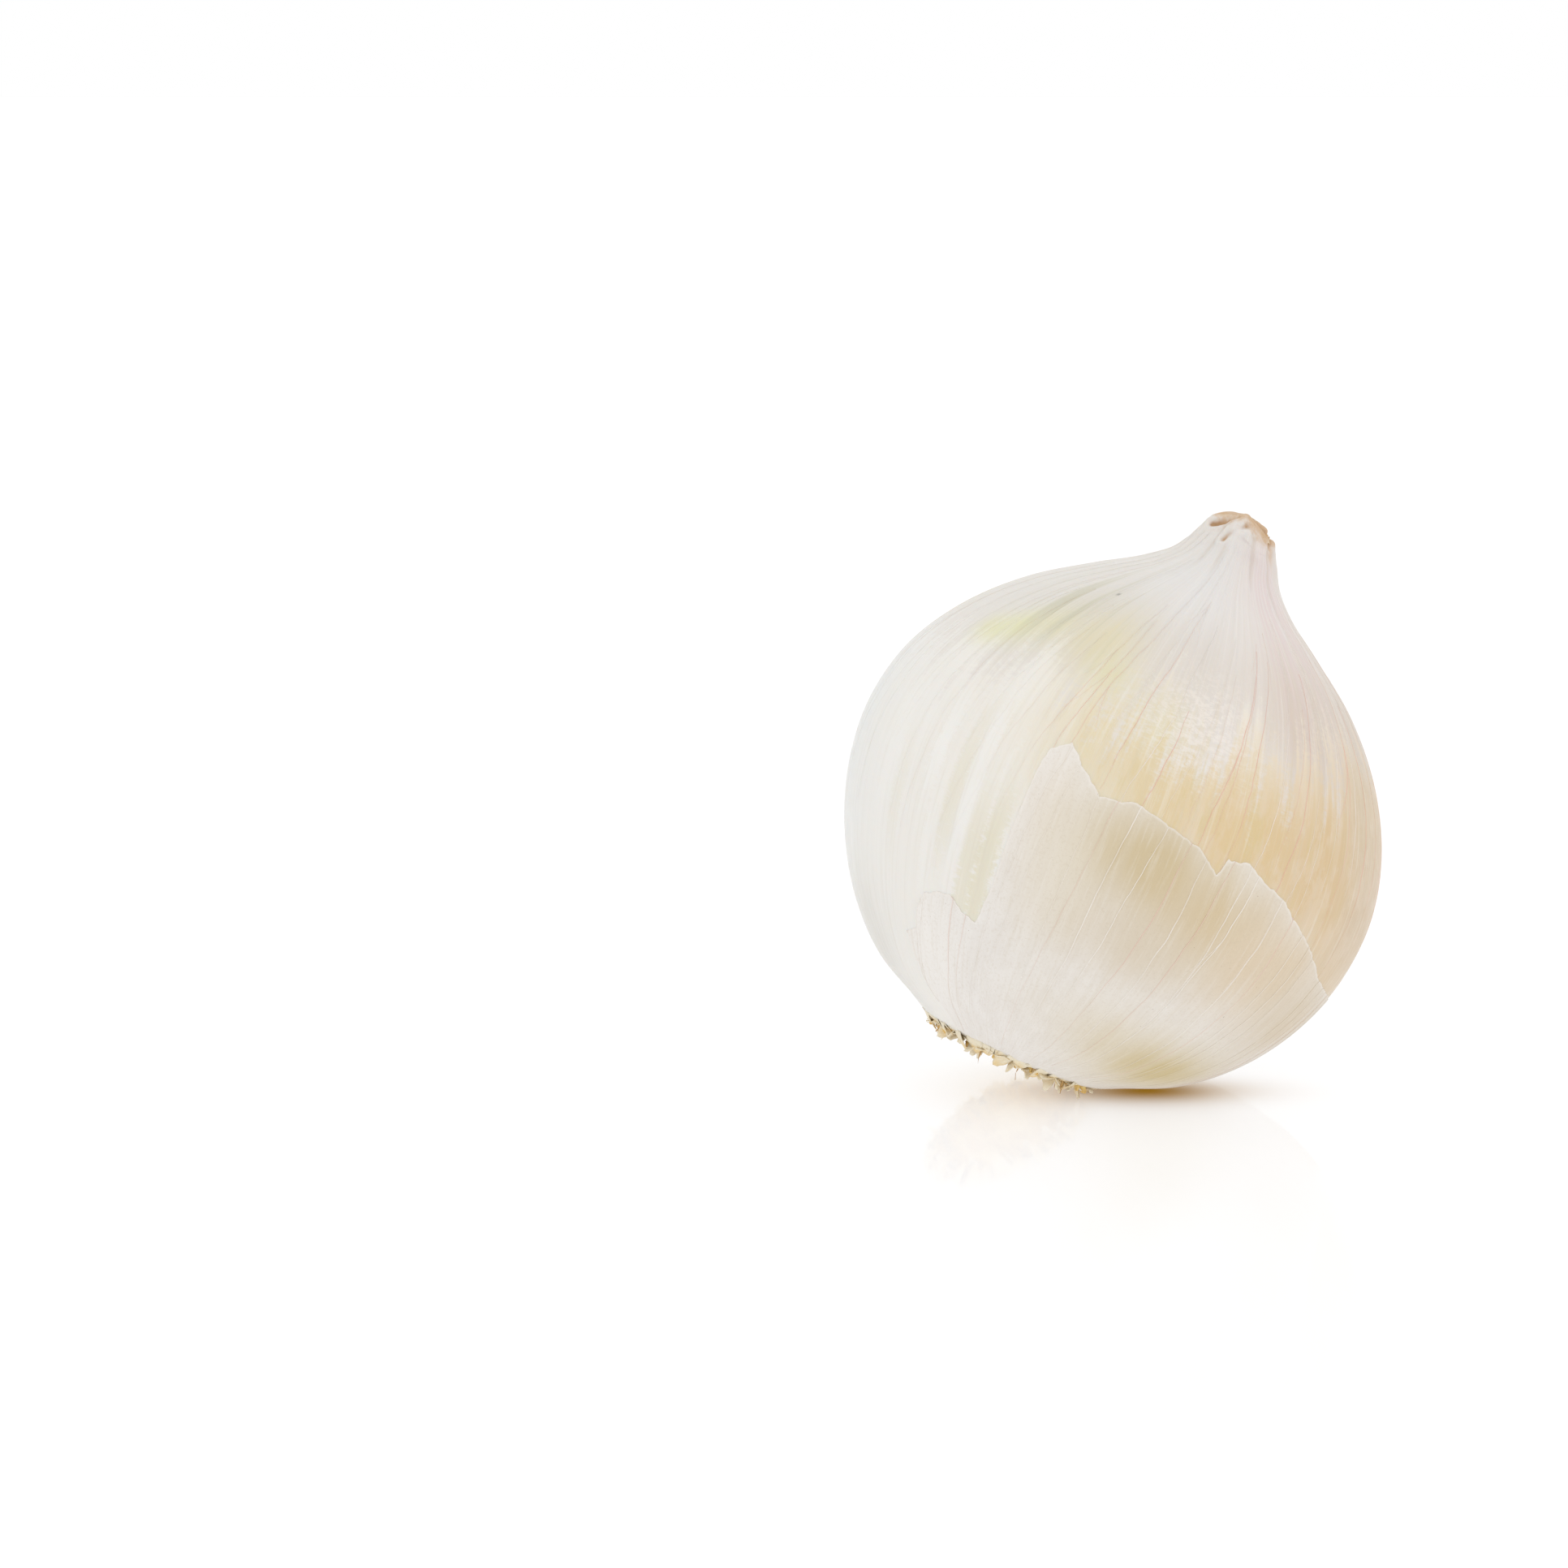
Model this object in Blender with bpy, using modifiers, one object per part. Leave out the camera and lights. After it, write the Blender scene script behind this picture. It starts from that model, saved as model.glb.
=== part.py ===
"""A whole white onion that lies leaning on its cheek, root plate low and closed neck high.

Three solids: the bulb in its inner skin, the torn outermost papery skin round its root half, and the
basal plate with the dry stubs of its roots. World space is metres, +Z up, with the origin on the flat spot
that the onion rests on. Lengths below are millimetres times MM. The onion's own axis runs from the root
plate up to the neck, and an angle round it is in degrees from the side that faces -Y, rising toward +X.
"""

import math
import random

import bmesh
import bpy
import numpy as np
from mathutils import Matrix, Vector

MM = 0.001

# How the onion lies
LEAN = math.radians(25.5)
HEADING = math.radians(20)
SPIN = math.radians(-28)
SPOT_SINK = 0.35 * MM

# The visible outline in millimetres: radius, and height along the axis, from the hollow at the root plate
# out to its rim, up round the body and in to the tip
OUTLINE = [
    (0.0, 2.7), (5.0, 2.7), (9.0, 2.6), (10.6, 1.9), (11.2, 0.9), (12.0, 0.6), (13.6, 0.9), (17.6, 2.75),
    (23.7, 5.8), (30.5, 11.8), (36.4, 20.8), (39.7, 30.4), (40.4, 38.6), (38.4, 48.7), (33.7, 57.3),
    (26.3, 65.4), (17.6, 71.7), (11.6, 75.7), (8.1, 79.0), (6.3, 82.2), (4.7, 84.9), (2.6, 86.4), (0.0, 86.8),
]
RINGS_PER_SPAN = 2
BULB_SEGMENTS = 72

# The body swells a little to one side low down and to the other side high up
SWAY = 0.5 * MM
SWAY_LENGTH = 78 * MM

# Lengthwise ribs that deepen toward the neck. Each wave is a count round the onion, a share of the depth
# and a start in radians, and two waves together make no two ribs alike
RIB_WAVES = [(18, 1.0, 0.0), (11, 0.5, 1.0)]
RIB_DEPTH = 0.17 * MM
RIB_START = 38 * MM
RIB_FULL = 70 * MM

# The folds of the closed neck, whose two waves turn opposite ways as they rise, and the crumpled tip
FOLD_WAVES = [(7, 1.0, 1), (3, 0.4, -1)]
FOLD_DEPTH = 0.33 * MM
FOLD_START = 74 * MM
FOLD_FULL = 83 * MM
FOLD_TWIST = math.radians(90)
TIP_START = 80 * MM
TIP_FULL = 84 * MM
TIP_WAVES = [(2, 1.0, 0.8), (5, 0.6, 0.0)]
TIP_WAVE = 0.6 * MM
NECK_RADIUS = 5 * MM

# Layers: the outline lies between the bulb's surface and the outer skin's
BULB_INSET = 0.45 * MM
SKIN_INSET = 0.15 * MM
SKIN_THICKNESS = 0.6 * MM

# The torn upper edge of the outermost skin: angle round the onion in degrees, and height along the axis
# in millimetres
TORN_EDGE = [
    (-42.5, 12.2), (-38.5, 13.0), (-38.0, 15.8), (-36.0, 18.0), (-32.0, 19.3), (-28.0, 19.8),
    (-24.5, 18.3), (-20.5, 17.6), (-19.5, 20.0), (-18.5, 24.0), (-18.0, 33.0), (-17.6, 42.0),
    (-17.0, 44.2), (-13.5, 46.2), (-10.0, 44.1), (-4.0, 40.9), (4.0, 42.1), (13.0, 40.7), (18.0, 40.0),
    (23.5, 37.5), (24.8, 40.1), (29.5, 40.7), (34.5, 39.2), (40.5, 37.9), (45.0, 36.2), (53.0, 33.3),
    (58.5, 31.3), (62.5, 29.7), (72.0, 28.0), (86.0, 26.7), (96.0, 25.5), (104.0, 29.0), (110.0, 34.0),
    (122.0, 36.5), (134.0, 35.0), (139.0, 29.0), (150.0, 26.0), (163.0, 27.5), (172.0, 33.0),
    (180.0, 39.0), (190.0, 41.0), (197.0, 36.0), (203.0, 28.0), (214.0, 23.0), (226.0, 21.0),
    (233.0, 17.0), (238.0, 11.0),
]
WIDEST_COLUMN = 6
TALLEST_STEP = 4.2
SKIN_ROWS = 11
SKIN_CURVE_STEPS = 8
SKIN_BOTTOM_RADIUS = 12.9 * MM
LOWER_CORNER_TURN = 10
LOWER_CORNER_REACH = 25

# The basal plate and the stubs of its roots
PLATE_RADIUS = 9.6 * MM
PLATE_BOTTOM = 1.4 * MM
PLATE_TOP = 2.75 * MM
PLATE_EDGE_SLOPE = 0.5 * MM
PLATE_SIDES = 36
HEART_RADIUS = 3.6 * MM
HEART_HALF_HEIGHT = 1.1 * MM
HEART_SUNK = 0.4 * MM
STUB_SIDES = 6
STUB_SUNK = 0.9 * MM
STUB_CLEARANCE = 0.4 * MM
STUB_STRAY = 11
STUB_TAPER = 0.7
STUB_RINGS = [
    {"count": 25, "radius": 8.6 * MM, "splay": 30, "length": 2.7 * MM, "thickness": 0.62 * MM},
    {"count": 17, "radius": 6.5 * MM, "splay": 18, "length": 2.1 * MM, "thickness": 0.66 * MM},
    {"count": 9, "radius": 4.4 * MM, "splay": 8, "length": 1.5 * MM, "thickness": 0.60 * MM},
]
SHORTEST_STUB = 0.5 * MM
STUB_TRIM = 0.1 * MM
SEAT_STRAY = 0.5 * MM
SEED = 7


def smooth_curve(points, steps):
    """Points of a smooth curve through these, with the same number of steps in each span."""
    points = np.array(points, float)
    spans = np.linalg.norm(np.diff(points, axis=0), axis=1)
    along = np.concatenate([[0], np.cumsum(spans)])
    slopes = np.gradient(points, along, axis=0)
    curve = []
    for i, span in enumerate(spans):
        for step in range(steps):
            t = step / steps
            curve.append(
                (2 * t**3 - 3 * t**2 + 1) * points[i]
                + (t**3 - 2 * t**2 + t) * span * slopes[i]
                + (3 * t**2 - 2 * t**3) * points[i + 1]
                + (t**3 - t**2) * span * slopes[i + 1]
            )
    curve.append(points[-1])
    return np.array(curve)


def inset_curve(curve, inset):
    """The curve moved inward, square to itself; the first and last points stay on the axis."""
    tangents = np.gradient(curve, axis=0)
    tangents /= np.linalg.norm(tangents, axis=1, keepdims=True)
    inward = np.stack([-tangents[:, 1], tangents[:, 0]], axis=1)
    moved = curve + inset * inward
    moved[[0, -1], 0] = 0
    return moved


def ease(value, start, end):
    """0 before start, 1 after end, and a smooth rise between."""
    t = min(max((value - start) / (end - start), 0), 1)
    return t * t * (3 - 2 * t)


def on_axis_frame(angle, radius, height):
    """A point of the onion's own frame from its angle in radians, its radius and its height."""
    sway = SWAY * math.sin(2 * math.pi * min(height, SWAY_LENGTH) / SWAY_LENGTH)
    return Vector((radius * math.sin(angle) + sway, -radius * math.cos(angle), height))


def relief(angle, radius, height):
    """The radius and height with the ribs, the neck's folds and the tip's waves added."""
    off_axis = min(radius / NECK_RADIUS, 1)
    on_neck = ease(height, FOLD_START, FOLD_FULL)
    ribs = sum(share * math.cos(count * angle + start) for count, share, start in RIB_WAVES)
    radius += RIB_DEPTH * ribs * ease(height, RIB_START, RIB_FULL) * (1 - on_neck)
    turn = FOLD_TWIST * (height - FOLD_START) / (FOLD_FULL - FOLD_START)
    folds = sum(share * math.cos(count * angle + sense * turn) for count, share, sense in FOLD_WAVES)
    radius += FOLD_DEPTH * folds * on_neck * off_axis
    waves = sum(share * math.cos(count * angle + start) for count, share, start in TIP_WAVES)
    height += TIP_WAVE * waves * ease(height, TIP_START, TIP_FULL) * off_axis
    return max(radius, 0), height


def lying_matrix(visible):
    """The onion's own frame to world space, with the visible skin's lowest point just under the origin."""
    leaning = Matrix.Rotation(HEADING, 4, "Z") @ Matrix.Rotation(LEAN, 4, "Y")
    turned = leaning @ Matrix.Rotation(SPIN, 4, "Z")
    down_angle = math.pi / 2 - SPIN
    points = [turned @ on_axis_frame(down_angle, radius, height) for radius, height in visible]
    lowest = min(points, key=lambda point: point.z)
    return Matrix.Translation(Vector((-lowest.x, -lowest.y, -lowest.z - SPOT_SINK))) @ turned


def material(name, color, roughness):
    made = bpy.data.materials.new(name)
    made.use_nodes = True
    shader = made.node_tree.nodes["Principled BSDF"]
    shader.inputs["Base Color"].default_value = (*color, 1)
    shader.inputs["Roughness"].default_value = roughness
    shader.inputs["Metallic"].default_value = 0
    return made


def object_from(bm, name, collection, finish=None):
    mesh = bpy.data.meshes.new(name)
    bm.to_mesh(mesh)
    bm.free()
    mesh.shade_smooth()
    made = bpy.data.objects.new(name, mesh)
    collection.objects.link(made)
    if finish:
        mesh.materials.append(finish)
    return made


def make_bulb(outline, lying, collection):
    """A sphere drawn onto the outline, then ribbed, folded at the neck and flat over the spot."""
    curve = inset_curve(outline, BULB_INSET)
    last = len(curve) - 1
    lowest = SKIN_THICKNESS + BULB_INSET - SKIN_INSET
    bm = bmesh.new()
    bmesh.ops.create_uvsphere(bm, u_segments=BULB_SEGMENTS, v_segments=last, radius=1)
    for vert in bm.verts:
        ring = round(math.acos(max(min(-vert.co.z, 1), -1)) / math.pi * last)
        angle = math.atan2(vert.co.x, -vert.co.y)
        radius, height = relief(angle, *curve[ring])
        vert.co = lying @ on_axis_frame(angle, radius, height)
        vert.co.z = max(vert.co.z, lowest)
    return object_from(bm, "bulb", collection, material("onion_inner_skin", (0.80, 0.74, 0.64), 0.3))


def edge_columns():
    """The torn edge with more points wherever two neighbours lie far apart."""
    columns = [TORN_EDGE[0]]
    for (angle, height), (next_angle, next_height) in zip(TORN_EDGE, TORN_EDGE[1:]):
        turn, climb = next_angle - angle, next_height - height
        parts = max(math.ceil(turn / WIDEST_COLUMN), math.ceil(abs(climb) / TALLEST_STEP))
        columns += [(angle + turn * k / parts, height + climb * k / parts) for k in range(1, parts + 1)]
    return columns


def make_outer_skin(outline, lying, collection):
    """A grid round the root half up to the torn edge, given its thickness, and flat under the spot."""
    curve = inset_curve(outline, SKIN_INSET)
    curve = curve[np.argmax(curve[:, 0] > SKIN_BOTTOM_RADIUS) :]
    along = np.concatenate([[0], np.cumsum(np.linalg.norm(np.diff(curve, axis=0), axis=1))])
    columns = edge_columns()
    last = len(columns) - 1
    bm = bmesh.new()
    bmesh.ops.create_grid(bm, x_segments=last, y_segments=SKIN_ROWS, size=1)
    for vert in bm.verts:
        angle, top = columns[round((vert.co.x + 1) / 2 * last)]
        row = (vert.co.y + 1) / 2
        reach = row * np.interp(top * MM, curve[:, 1], along)
        radius, height = (np.interp(reach, along, curve[:, axis]) for axis in (0, 1))
        from_corner = min(angle - TORN_EDGE[0][0], LOWER_CORNER_REACH) / LOWER_CORNER_REACH
        to_corner = min(TORN_EDGE[-1][0] - angle, LOWER_CORNER_REACH) / LOWER_CORNER_REACH
        angle += LOWER_CORNER_TURN * (1 - row) * (to_corner - from_corner)
        vert.co = lying @ on_axis_frame(math.radians(angle), radius, height)
        vert.co.z = max(vert.co.z, SKIN_THICKNESS)
    sheet = object_from(bm, "outer_skin_sheet", collection)
    solidify = sheet.modifiers.new("thickness", "SOLIDIFY")
    solidify.thickness = SKIN_THICKNESS
    solidify.offset = 1
    skin = applied(sheet, "outer_skin", collection)
    inner_count = len(sheet.data.vertices)
    for index in range(inner_count):
        if skin.data.vertices[index].co.z <= SKIN_THICKNESS + 1e-9:
            skin.data.vertices[index + inner_count].co.z = 0
    for vert in skin.data.vertices:
        vert.co.z = max(vert.co.z, 0)
    bpy.data.objects.remove(sheet)
    skin.data.materials.append(material("onion_outer_skin", (0.74, 0.64, 0.50), 0.6))
    return skin


def applied(source, name, collection):
    """A plain mesh object of what this object's modifiers make."""
    bpy.context.view_layer.update()
    graph = bpy.context.evaluated_depsgraph_get()
    mesh = bpy.data.meshes.new_from_object(source.evaluated_get(graph))
    mesh.shade_smooth()
    made = bpy.data.objects.new(name, mesh)
    collection.objects.link(made)
    return made


def make_plate(lying, collection):
    """The corky disc that the roots grow from."""
    bm = bmesh.new()
    depth = PLATE_TOP - PLATE_BOTTOM
    middle = Matrix.Translation((0, 0, (PLATE_TOP + PLATE_BOTTOM) / 2))
    bmesh.ops.create_cone(
        bm, cap_ends=True, segments=PLATE_SIDES, depth=depth, matrix=lying @ middle,
        radius1=PLATE_RADIUS - PLATE_EDGE_SLOPE, radius2=PLATE_RADIUS,
    )
    return object_from(bm, "root_plate", collection)


def make_heart(lying, collection):
    """The low dome in the middle of the disc."""
    bm = bmesh.new()
    size = Matrix.Diagonal((HEART_RADIUS, HEART_RADIUS, HEART_HALF_HEIGHT, 1))
    place = Matrix.Translation((0, 0, PLATE_BOTTOM + HEART_SUNK))
    bmesh.ops.create_uvsphere(bm, u_segments=14, v_segments=8, radius=1, matrix=lying @ place @ size)
    return object_from(bm, "plate_heart", collection)


def make_stub(lying, collection, angle, ring, rng):
    """One root stub: a blunt cone that splays outward, cut short where the floor is near."""
    splay = math.radians(ring["splay"] + rng.uniform(-STUB_STRAY, STUB_STRAY))
    sideways = math.radians(rng.uniform(-STUB_STRAY, STUB_STRAY))
    length = ring["length"] * rng.uniform(0.65, 1.15)
    foot = on_axis_frame(angle, ring["radius"] + rng.uniform(-SEAT_STRAY, SEAT_STRAY), PLATE_BOTTOM)
    outward = Vector((math.sin(angle + sideways), -math.cos(angle + sideways), 0))
    along = (outward * math.sin(splay) - Vector((0, 0, 1)) * math.cos(splay)).normalized()
    thickness = ring["thickness"] * rng.uniform(0.8, 1.2)
    lowest = STUB_CLEARANCE + thickness
    while length > SHORTEST_STUB and (lying @ (foot + along * length)).z < lowest:
        length -= STUB_TRIM
    middle = foot + along * (length - STUB_SUNK) / 2
    place = Matrix.Translation(middle) @ along.to_track_quat("Z", "Y").to_matrix().to_4x4()
    bm = bmesh.new()
    bmesh.ops.create_cone(
        bm, cap_ends=True, segments=STUB_SIDES, depth=length + STUB_SUNK, matrix=lying @ place,
        radius1=thickness, radius2=STUB_TAPER * thickness,
    )
    return object_from(bm, "root_stub", collection)


def make_root_tuft(lying, collection, helpers):
    """The basal plate with its stubs in rings, joined into one body."""
    rng = random.Random(SEED)
    plate = make_plate(lying, helpers)
    stubs = bpy.data.collections.new("root_stubs")
    helpers.children.link(stubs)
    make_heart(lying, stubs)
    for ring in STUB_RINGS:
        for k in range(ring["count"]):
            angle = 2 * math.pi * (k + rng.uniform(-0.25, 0.25)) / ring["count"]
            make_stub(lying, stubs, angle, ring, rng)
    join = plate.modifiers.new("join", "BOOLEAN")
    join.operation = "UNION"
    join.operand_type = "COLLECTION"
    join.collection = stubs
    join.solver = "EXACT"
    tuft = applied(plate, "root_tuft", collection)
    for helper in [plate, *stubs.objects]:
        bpy.data.objects.remove(helper)
    tuft.data.materials.append(material("onion_roots", (0.55, 0.42, 0.22), 0.75))
    return tuft


def main():
    for old in list(bpy.data.objects):
        bpy.data.objects.remove(old)
    onion = bpy.data.collections.new("onion")
    helpers = bpy.data.collections.new("helpers")
    helpers.hide_render = True
    for collection in (onion, helpers):
        bpy.context.scene.collection.children.link(collection)
    outline = smooth_curve(OUTLINE, RINGS_PER_SPAN) * MM
    lying = lying_matrix(inset_curve(outline, SKIN_INSET - SKIN_THICKNESS))
    make_bulb(outline, lying, onion)
    make_outer_skin(smooth_curve(OUTLINE, SKIN_CURVE_STEPS) * MM, lying, onion)
    make_root_tuft(lying, onion, helpers)


main()
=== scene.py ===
"""The looks of a whole white onion that lies leaning on its cheek.

Lengths are metres, written as millimetres times MM. The onion's own frame has its axis from the root plate up
to the neck. A place on it is an angle in degrees from the side that faces -Y, rising toward +X, and a height
in millimetres along the axis. Each piece is made in that frame and then laid down as the solids are.
"""

import math
from functools import partialmethod
from math import radians

import bmesh
import bpy
import numpy as np
from mathutils import Matrix, Vector, noise
from mathutils.bvhtree import BVHTree
from mathutils.geometry import delaunay_2d_cdt


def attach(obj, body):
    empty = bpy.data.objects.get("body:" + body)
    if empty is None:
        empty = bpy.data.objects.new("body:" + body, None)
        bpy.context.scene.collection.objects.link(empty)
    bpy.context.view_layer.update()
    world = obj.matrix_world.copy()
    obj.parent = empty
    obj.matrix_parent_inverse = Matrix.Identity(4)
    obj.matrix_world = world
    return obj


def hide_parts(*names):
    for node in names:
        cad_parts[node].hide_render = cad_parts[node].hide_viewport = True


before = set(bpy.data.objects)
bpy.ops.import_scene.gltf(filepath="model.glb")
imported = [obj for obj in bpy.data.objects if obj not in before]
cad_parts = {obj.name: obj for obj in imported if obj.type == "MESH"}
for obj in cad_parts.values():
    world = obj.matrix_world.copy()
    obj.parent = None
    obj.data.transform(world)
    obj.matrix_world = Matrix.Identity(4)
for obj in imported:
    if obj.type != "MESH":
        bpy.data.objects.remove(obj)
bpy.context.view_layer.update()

MM = 0.001
FULL_TURN = 2 * math.pi

# How the onion lies, as in its solids
LEAN = radians(25.5)
HEADING = radians(20)
SPIN = radians(-28)
SPOT_SINK = 0.35 * MM

# The visible outline in millimetres: radius, and height along the axis
OUTLINE = [
    (0.0, 2.7), (5.0, 2.7), (9.0, 2.6), (10.6, 1.9), (11.2, 0.9), (12.0, 0.6), (13.6, 0.9), (17.6, 2.75),
    (23.7, 5.8), (30.5, 11.8), (36.4, 20.8), (39.7, 30.4), (40.4, 38.6), (38.4, 48.7), (33.7, 57.3),
    (26.3, 65.4), (17.6, 71.7), (11.6, 75.7), (8.1, 79.0), (6.3, 82.2), (4.7, 84.9), (2.6, 86.4), (0.0, 86.8),
]
SOLID_STEPS = 2
PROFILE_STEPS = 24
SKIN_OUT = 0.45 * MM
SWAY = 0.5 * MM
SWAY_LENGTH = 78 * MM

# Relief of the bulb, as in its solid. A wave has its number round the onion, its share of the depth, and its
# start or, for the folds, the side it turns to as it rises. Each relief comes in over its span of heights.
RIB_WAVES = [(18, 1.0, 0.0), (11, 0.5, 1.0)]
RIB_SPAN = (38 * MM, 70 * MM)
FOLD_WAVES = [(7, 1.0, 1), (3, 0.4, -1)]
FOLD_SPAN = (74 * MM, 83 * MM)
TIP_WAVES = [(2, 1.0, 0.8), (5, 0.6, 0.0)]
TIP_SPAN = (80 * MM, 84 * MM)
NECK_RADIUS = 5 * MM
ONION_MIDDLE = (0, 0, 38 * MM)

# The bulb's fine lengthwise ridges: how close they are round it and along it, and their share low down
RIDGES_AROUND = 13.0
RIDGES_ALONG = 30.0
RIDGE_SPAN = (50 * MM, 76 * MM)
RIDGE_LOW = 0.12
# How much closer the bulb's rings are at its ends, and how near its seam's points are to be joined
END_CROWDING = 0.09
SEAM_WIDTH = 0.004 * MM

# Creases pressed into the tip where its layers fold shut, as angle and height
SLITS = [
    [(-54, 83.6), (-40, 84.7), (-20, 85.6)],
    [(-19, 82.0), (-13, 83.5), (-6, 84.4), (2, 85.1)],
    [(0, 86.7), (40, 86.3), (80, 85.6)],
    [(60, 84.0), (75, 85.2), (100, 85.9)],
    [(130, 83.0), (145, 84.4), (170, 85.6)],
    [(205, 82.4), (215, 84.0), (240, 85.4)],
]
FOLD_LINES = [
    [(-30, 84.0), (-30, 81.5), (-27, 77.0), (-25, 73.0)],
    [(-12, 83.0), (-12, 80.0), (-9, 75.0)],
    [(22, 84.0), (26, 79.0), (27, 73.0)],
    [(52, 83.5), (50, 79.0), (47, 74.0), (45, 69.0)],
    [(95, 84.0), (99, 79.0), (103, 72.0)],
    [(140, 83.0), (146, 78.0), (150, 71.0)],
    [(190, 84.0), (188, 79.0), (185, 72.0)],
    [(245, 83.0), (250, 78.0), (252, 70.0)],
    [(290, 84.0), (296, 79.0), (300, 72.0)],
]
LINE_STEPS = 8
# The heights where the fold lines fade out downward, in millimetres
FOLD_LINE_FADE = (72.0, 81.0)
# Beside each crease the skin swells: how many widths away, and by what share of the crease's depth
SWELL_PLACE = 1.9
SWELL_SHARE = 0.3

# The torn upper edge of the loose outer skin, as angle and height
TORN_EDGE = [
    (-42.5, 12.2), (-38.5, 13.0), (-38.0, 15.8), (-36.0, 18.0), (-32.0, 19.3), (-28.0, 19.8),
    (-24.5, 18.3), (-20.5, 17.6), (-19.5, 20.0), (-18.5, 24.0), (-18.0, 33.0), (-17.6, 42.0),
    (-17.0, 44.2), (-13.5, 46.2), (-10.0, 44.1), (-4.0, 40.9), (4.0, 42.1), (13.0, 40.7), (18.0, 40.0),
    (23.5, 37.5), (24.8, 40.1), (29.5, 40.7), (34.5, 39.2), (40.5, 37.9), (45.0, 36.2), (53.0, 33.3),
    (58.5, 31.3), (62.5, 29.7), (72.0, 28.0), (86.0, 26.7), (96.0, 25.5), (104.0, 29.0), (110.0, 34.0),
    (122.0, 36.5), (134.0, 35.0), (139.0, 29.0), (150.0, 26.0), (163.0, 27.5), (172.0, 33.0),
    (180.0, 39.0), (190.0, 41.0), (197.0, 36.0), (203.0, 28.0), (214.0, 23.0), (226.0, 21.0),
    (233.0, 17.0), (238.0, 11.0),
]
SKIN_BOTTOM_RADIUS = 12.9 * MM
LOWER_CORNER_TURN = 10
UNROLL_RADIUS = 33 * MM
SKIN_MESH = 0.75 * MM
EDGE_STEP = 0.35 * MM
EDGE_RAGGED = 0.24 * MM
EDGE_CLEARANCE = 0.4 * SKIN_MESH
RIM_WIDTH = 0.45 * MM
# The sheet's inner side lies a little inside the bulb, so that no dark gap shows under the torn edge
SKIN_GAP = -0.01 * MM
SKIN_THICKNESS = 0.08 * MM
SKIN_LIFT = 0.02 * MM
LIFT_WIDTH = 1.5 * MM
SKIN_SHARP_ANGLE = radians(40)

# The disc that the roots grow from: its outline and bumps in millimetres, and the height of its back
PLATE_OUTLINE = [
    (0.0, 1.2), (2.6, 1.1), (4.0, 1.7), (5.4, 1.5), (7.6, 1.4), (9.6, 1.5), (10.7, 2.0), (11.3, 2.8),
]
PLATE_STEPS = 6
PLATE_SIDES = 120
PLATE_BUMPS = 0.35
PLATE_BACK = 3.4 * MM

# The height in millimetres where a vein is at its first angle
VEIN_MIDDLE = 45.0
# Meshes of the thin pieces: sides of a vein, sides and points of a root, points of a shred, and its thickness
VEIN_SIDES = 4
ROOT_SIDES = 7
ROOT_POINTS = 8
ROOT_ENDS = {"Start": (0, 0, -0.25), "End": (0, 0, 1)}
SHRED_POINTS = (7, 9)
SHRED_THICKNESS = 0.09 * MM

# Lowest heights over the floor of the layers that rest on it
BULB_LOWEST = 0.24 * MM
SKIN_INSIDE_LOWEST = 0.14 * MM
ROOTS_LOWEST = 0.15 * MM

# The camera stands where the photograph was taken from
CAMERA_PLACE = Vector((-52.8, -567.0, 165.3)) * MM
CAMERA_PITCH = radians(12)
CAMERA_LENS = 90

# The floor's own light, its colour, and the place, size and colour of the shade under the onion
FLOOR_GLOW = 0.68
FLOOR_TINT = (156, 156, 158)
SHADE_PLACE = (1 * MM, -8 * MM)
SHADE_SIZE = (14 * MM, 6 * MM)
SHADE_TINT = (143, 106, 6)

# The one lamp, a large soft light
SOFTBOX_PLACE = Vector((0.45, -0.55, 0.75))
SOFTBOX_AIM = Vector((0.0, 0.0, 0.04))
SOFTBOX_SIZE = (0.5, 0.5)
SOFTBOX_POWER = 0.6


def feed(node, sockets):
    """Sets these inputs of a node to numbers, or links them to wires."""
    for key, value in sockets.items():
        if isinstance(value, Wire):
            value.tree.links.new(value.socket, node.inputs[key])
        else:
            node.inputs[key].default_value = value


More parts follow.
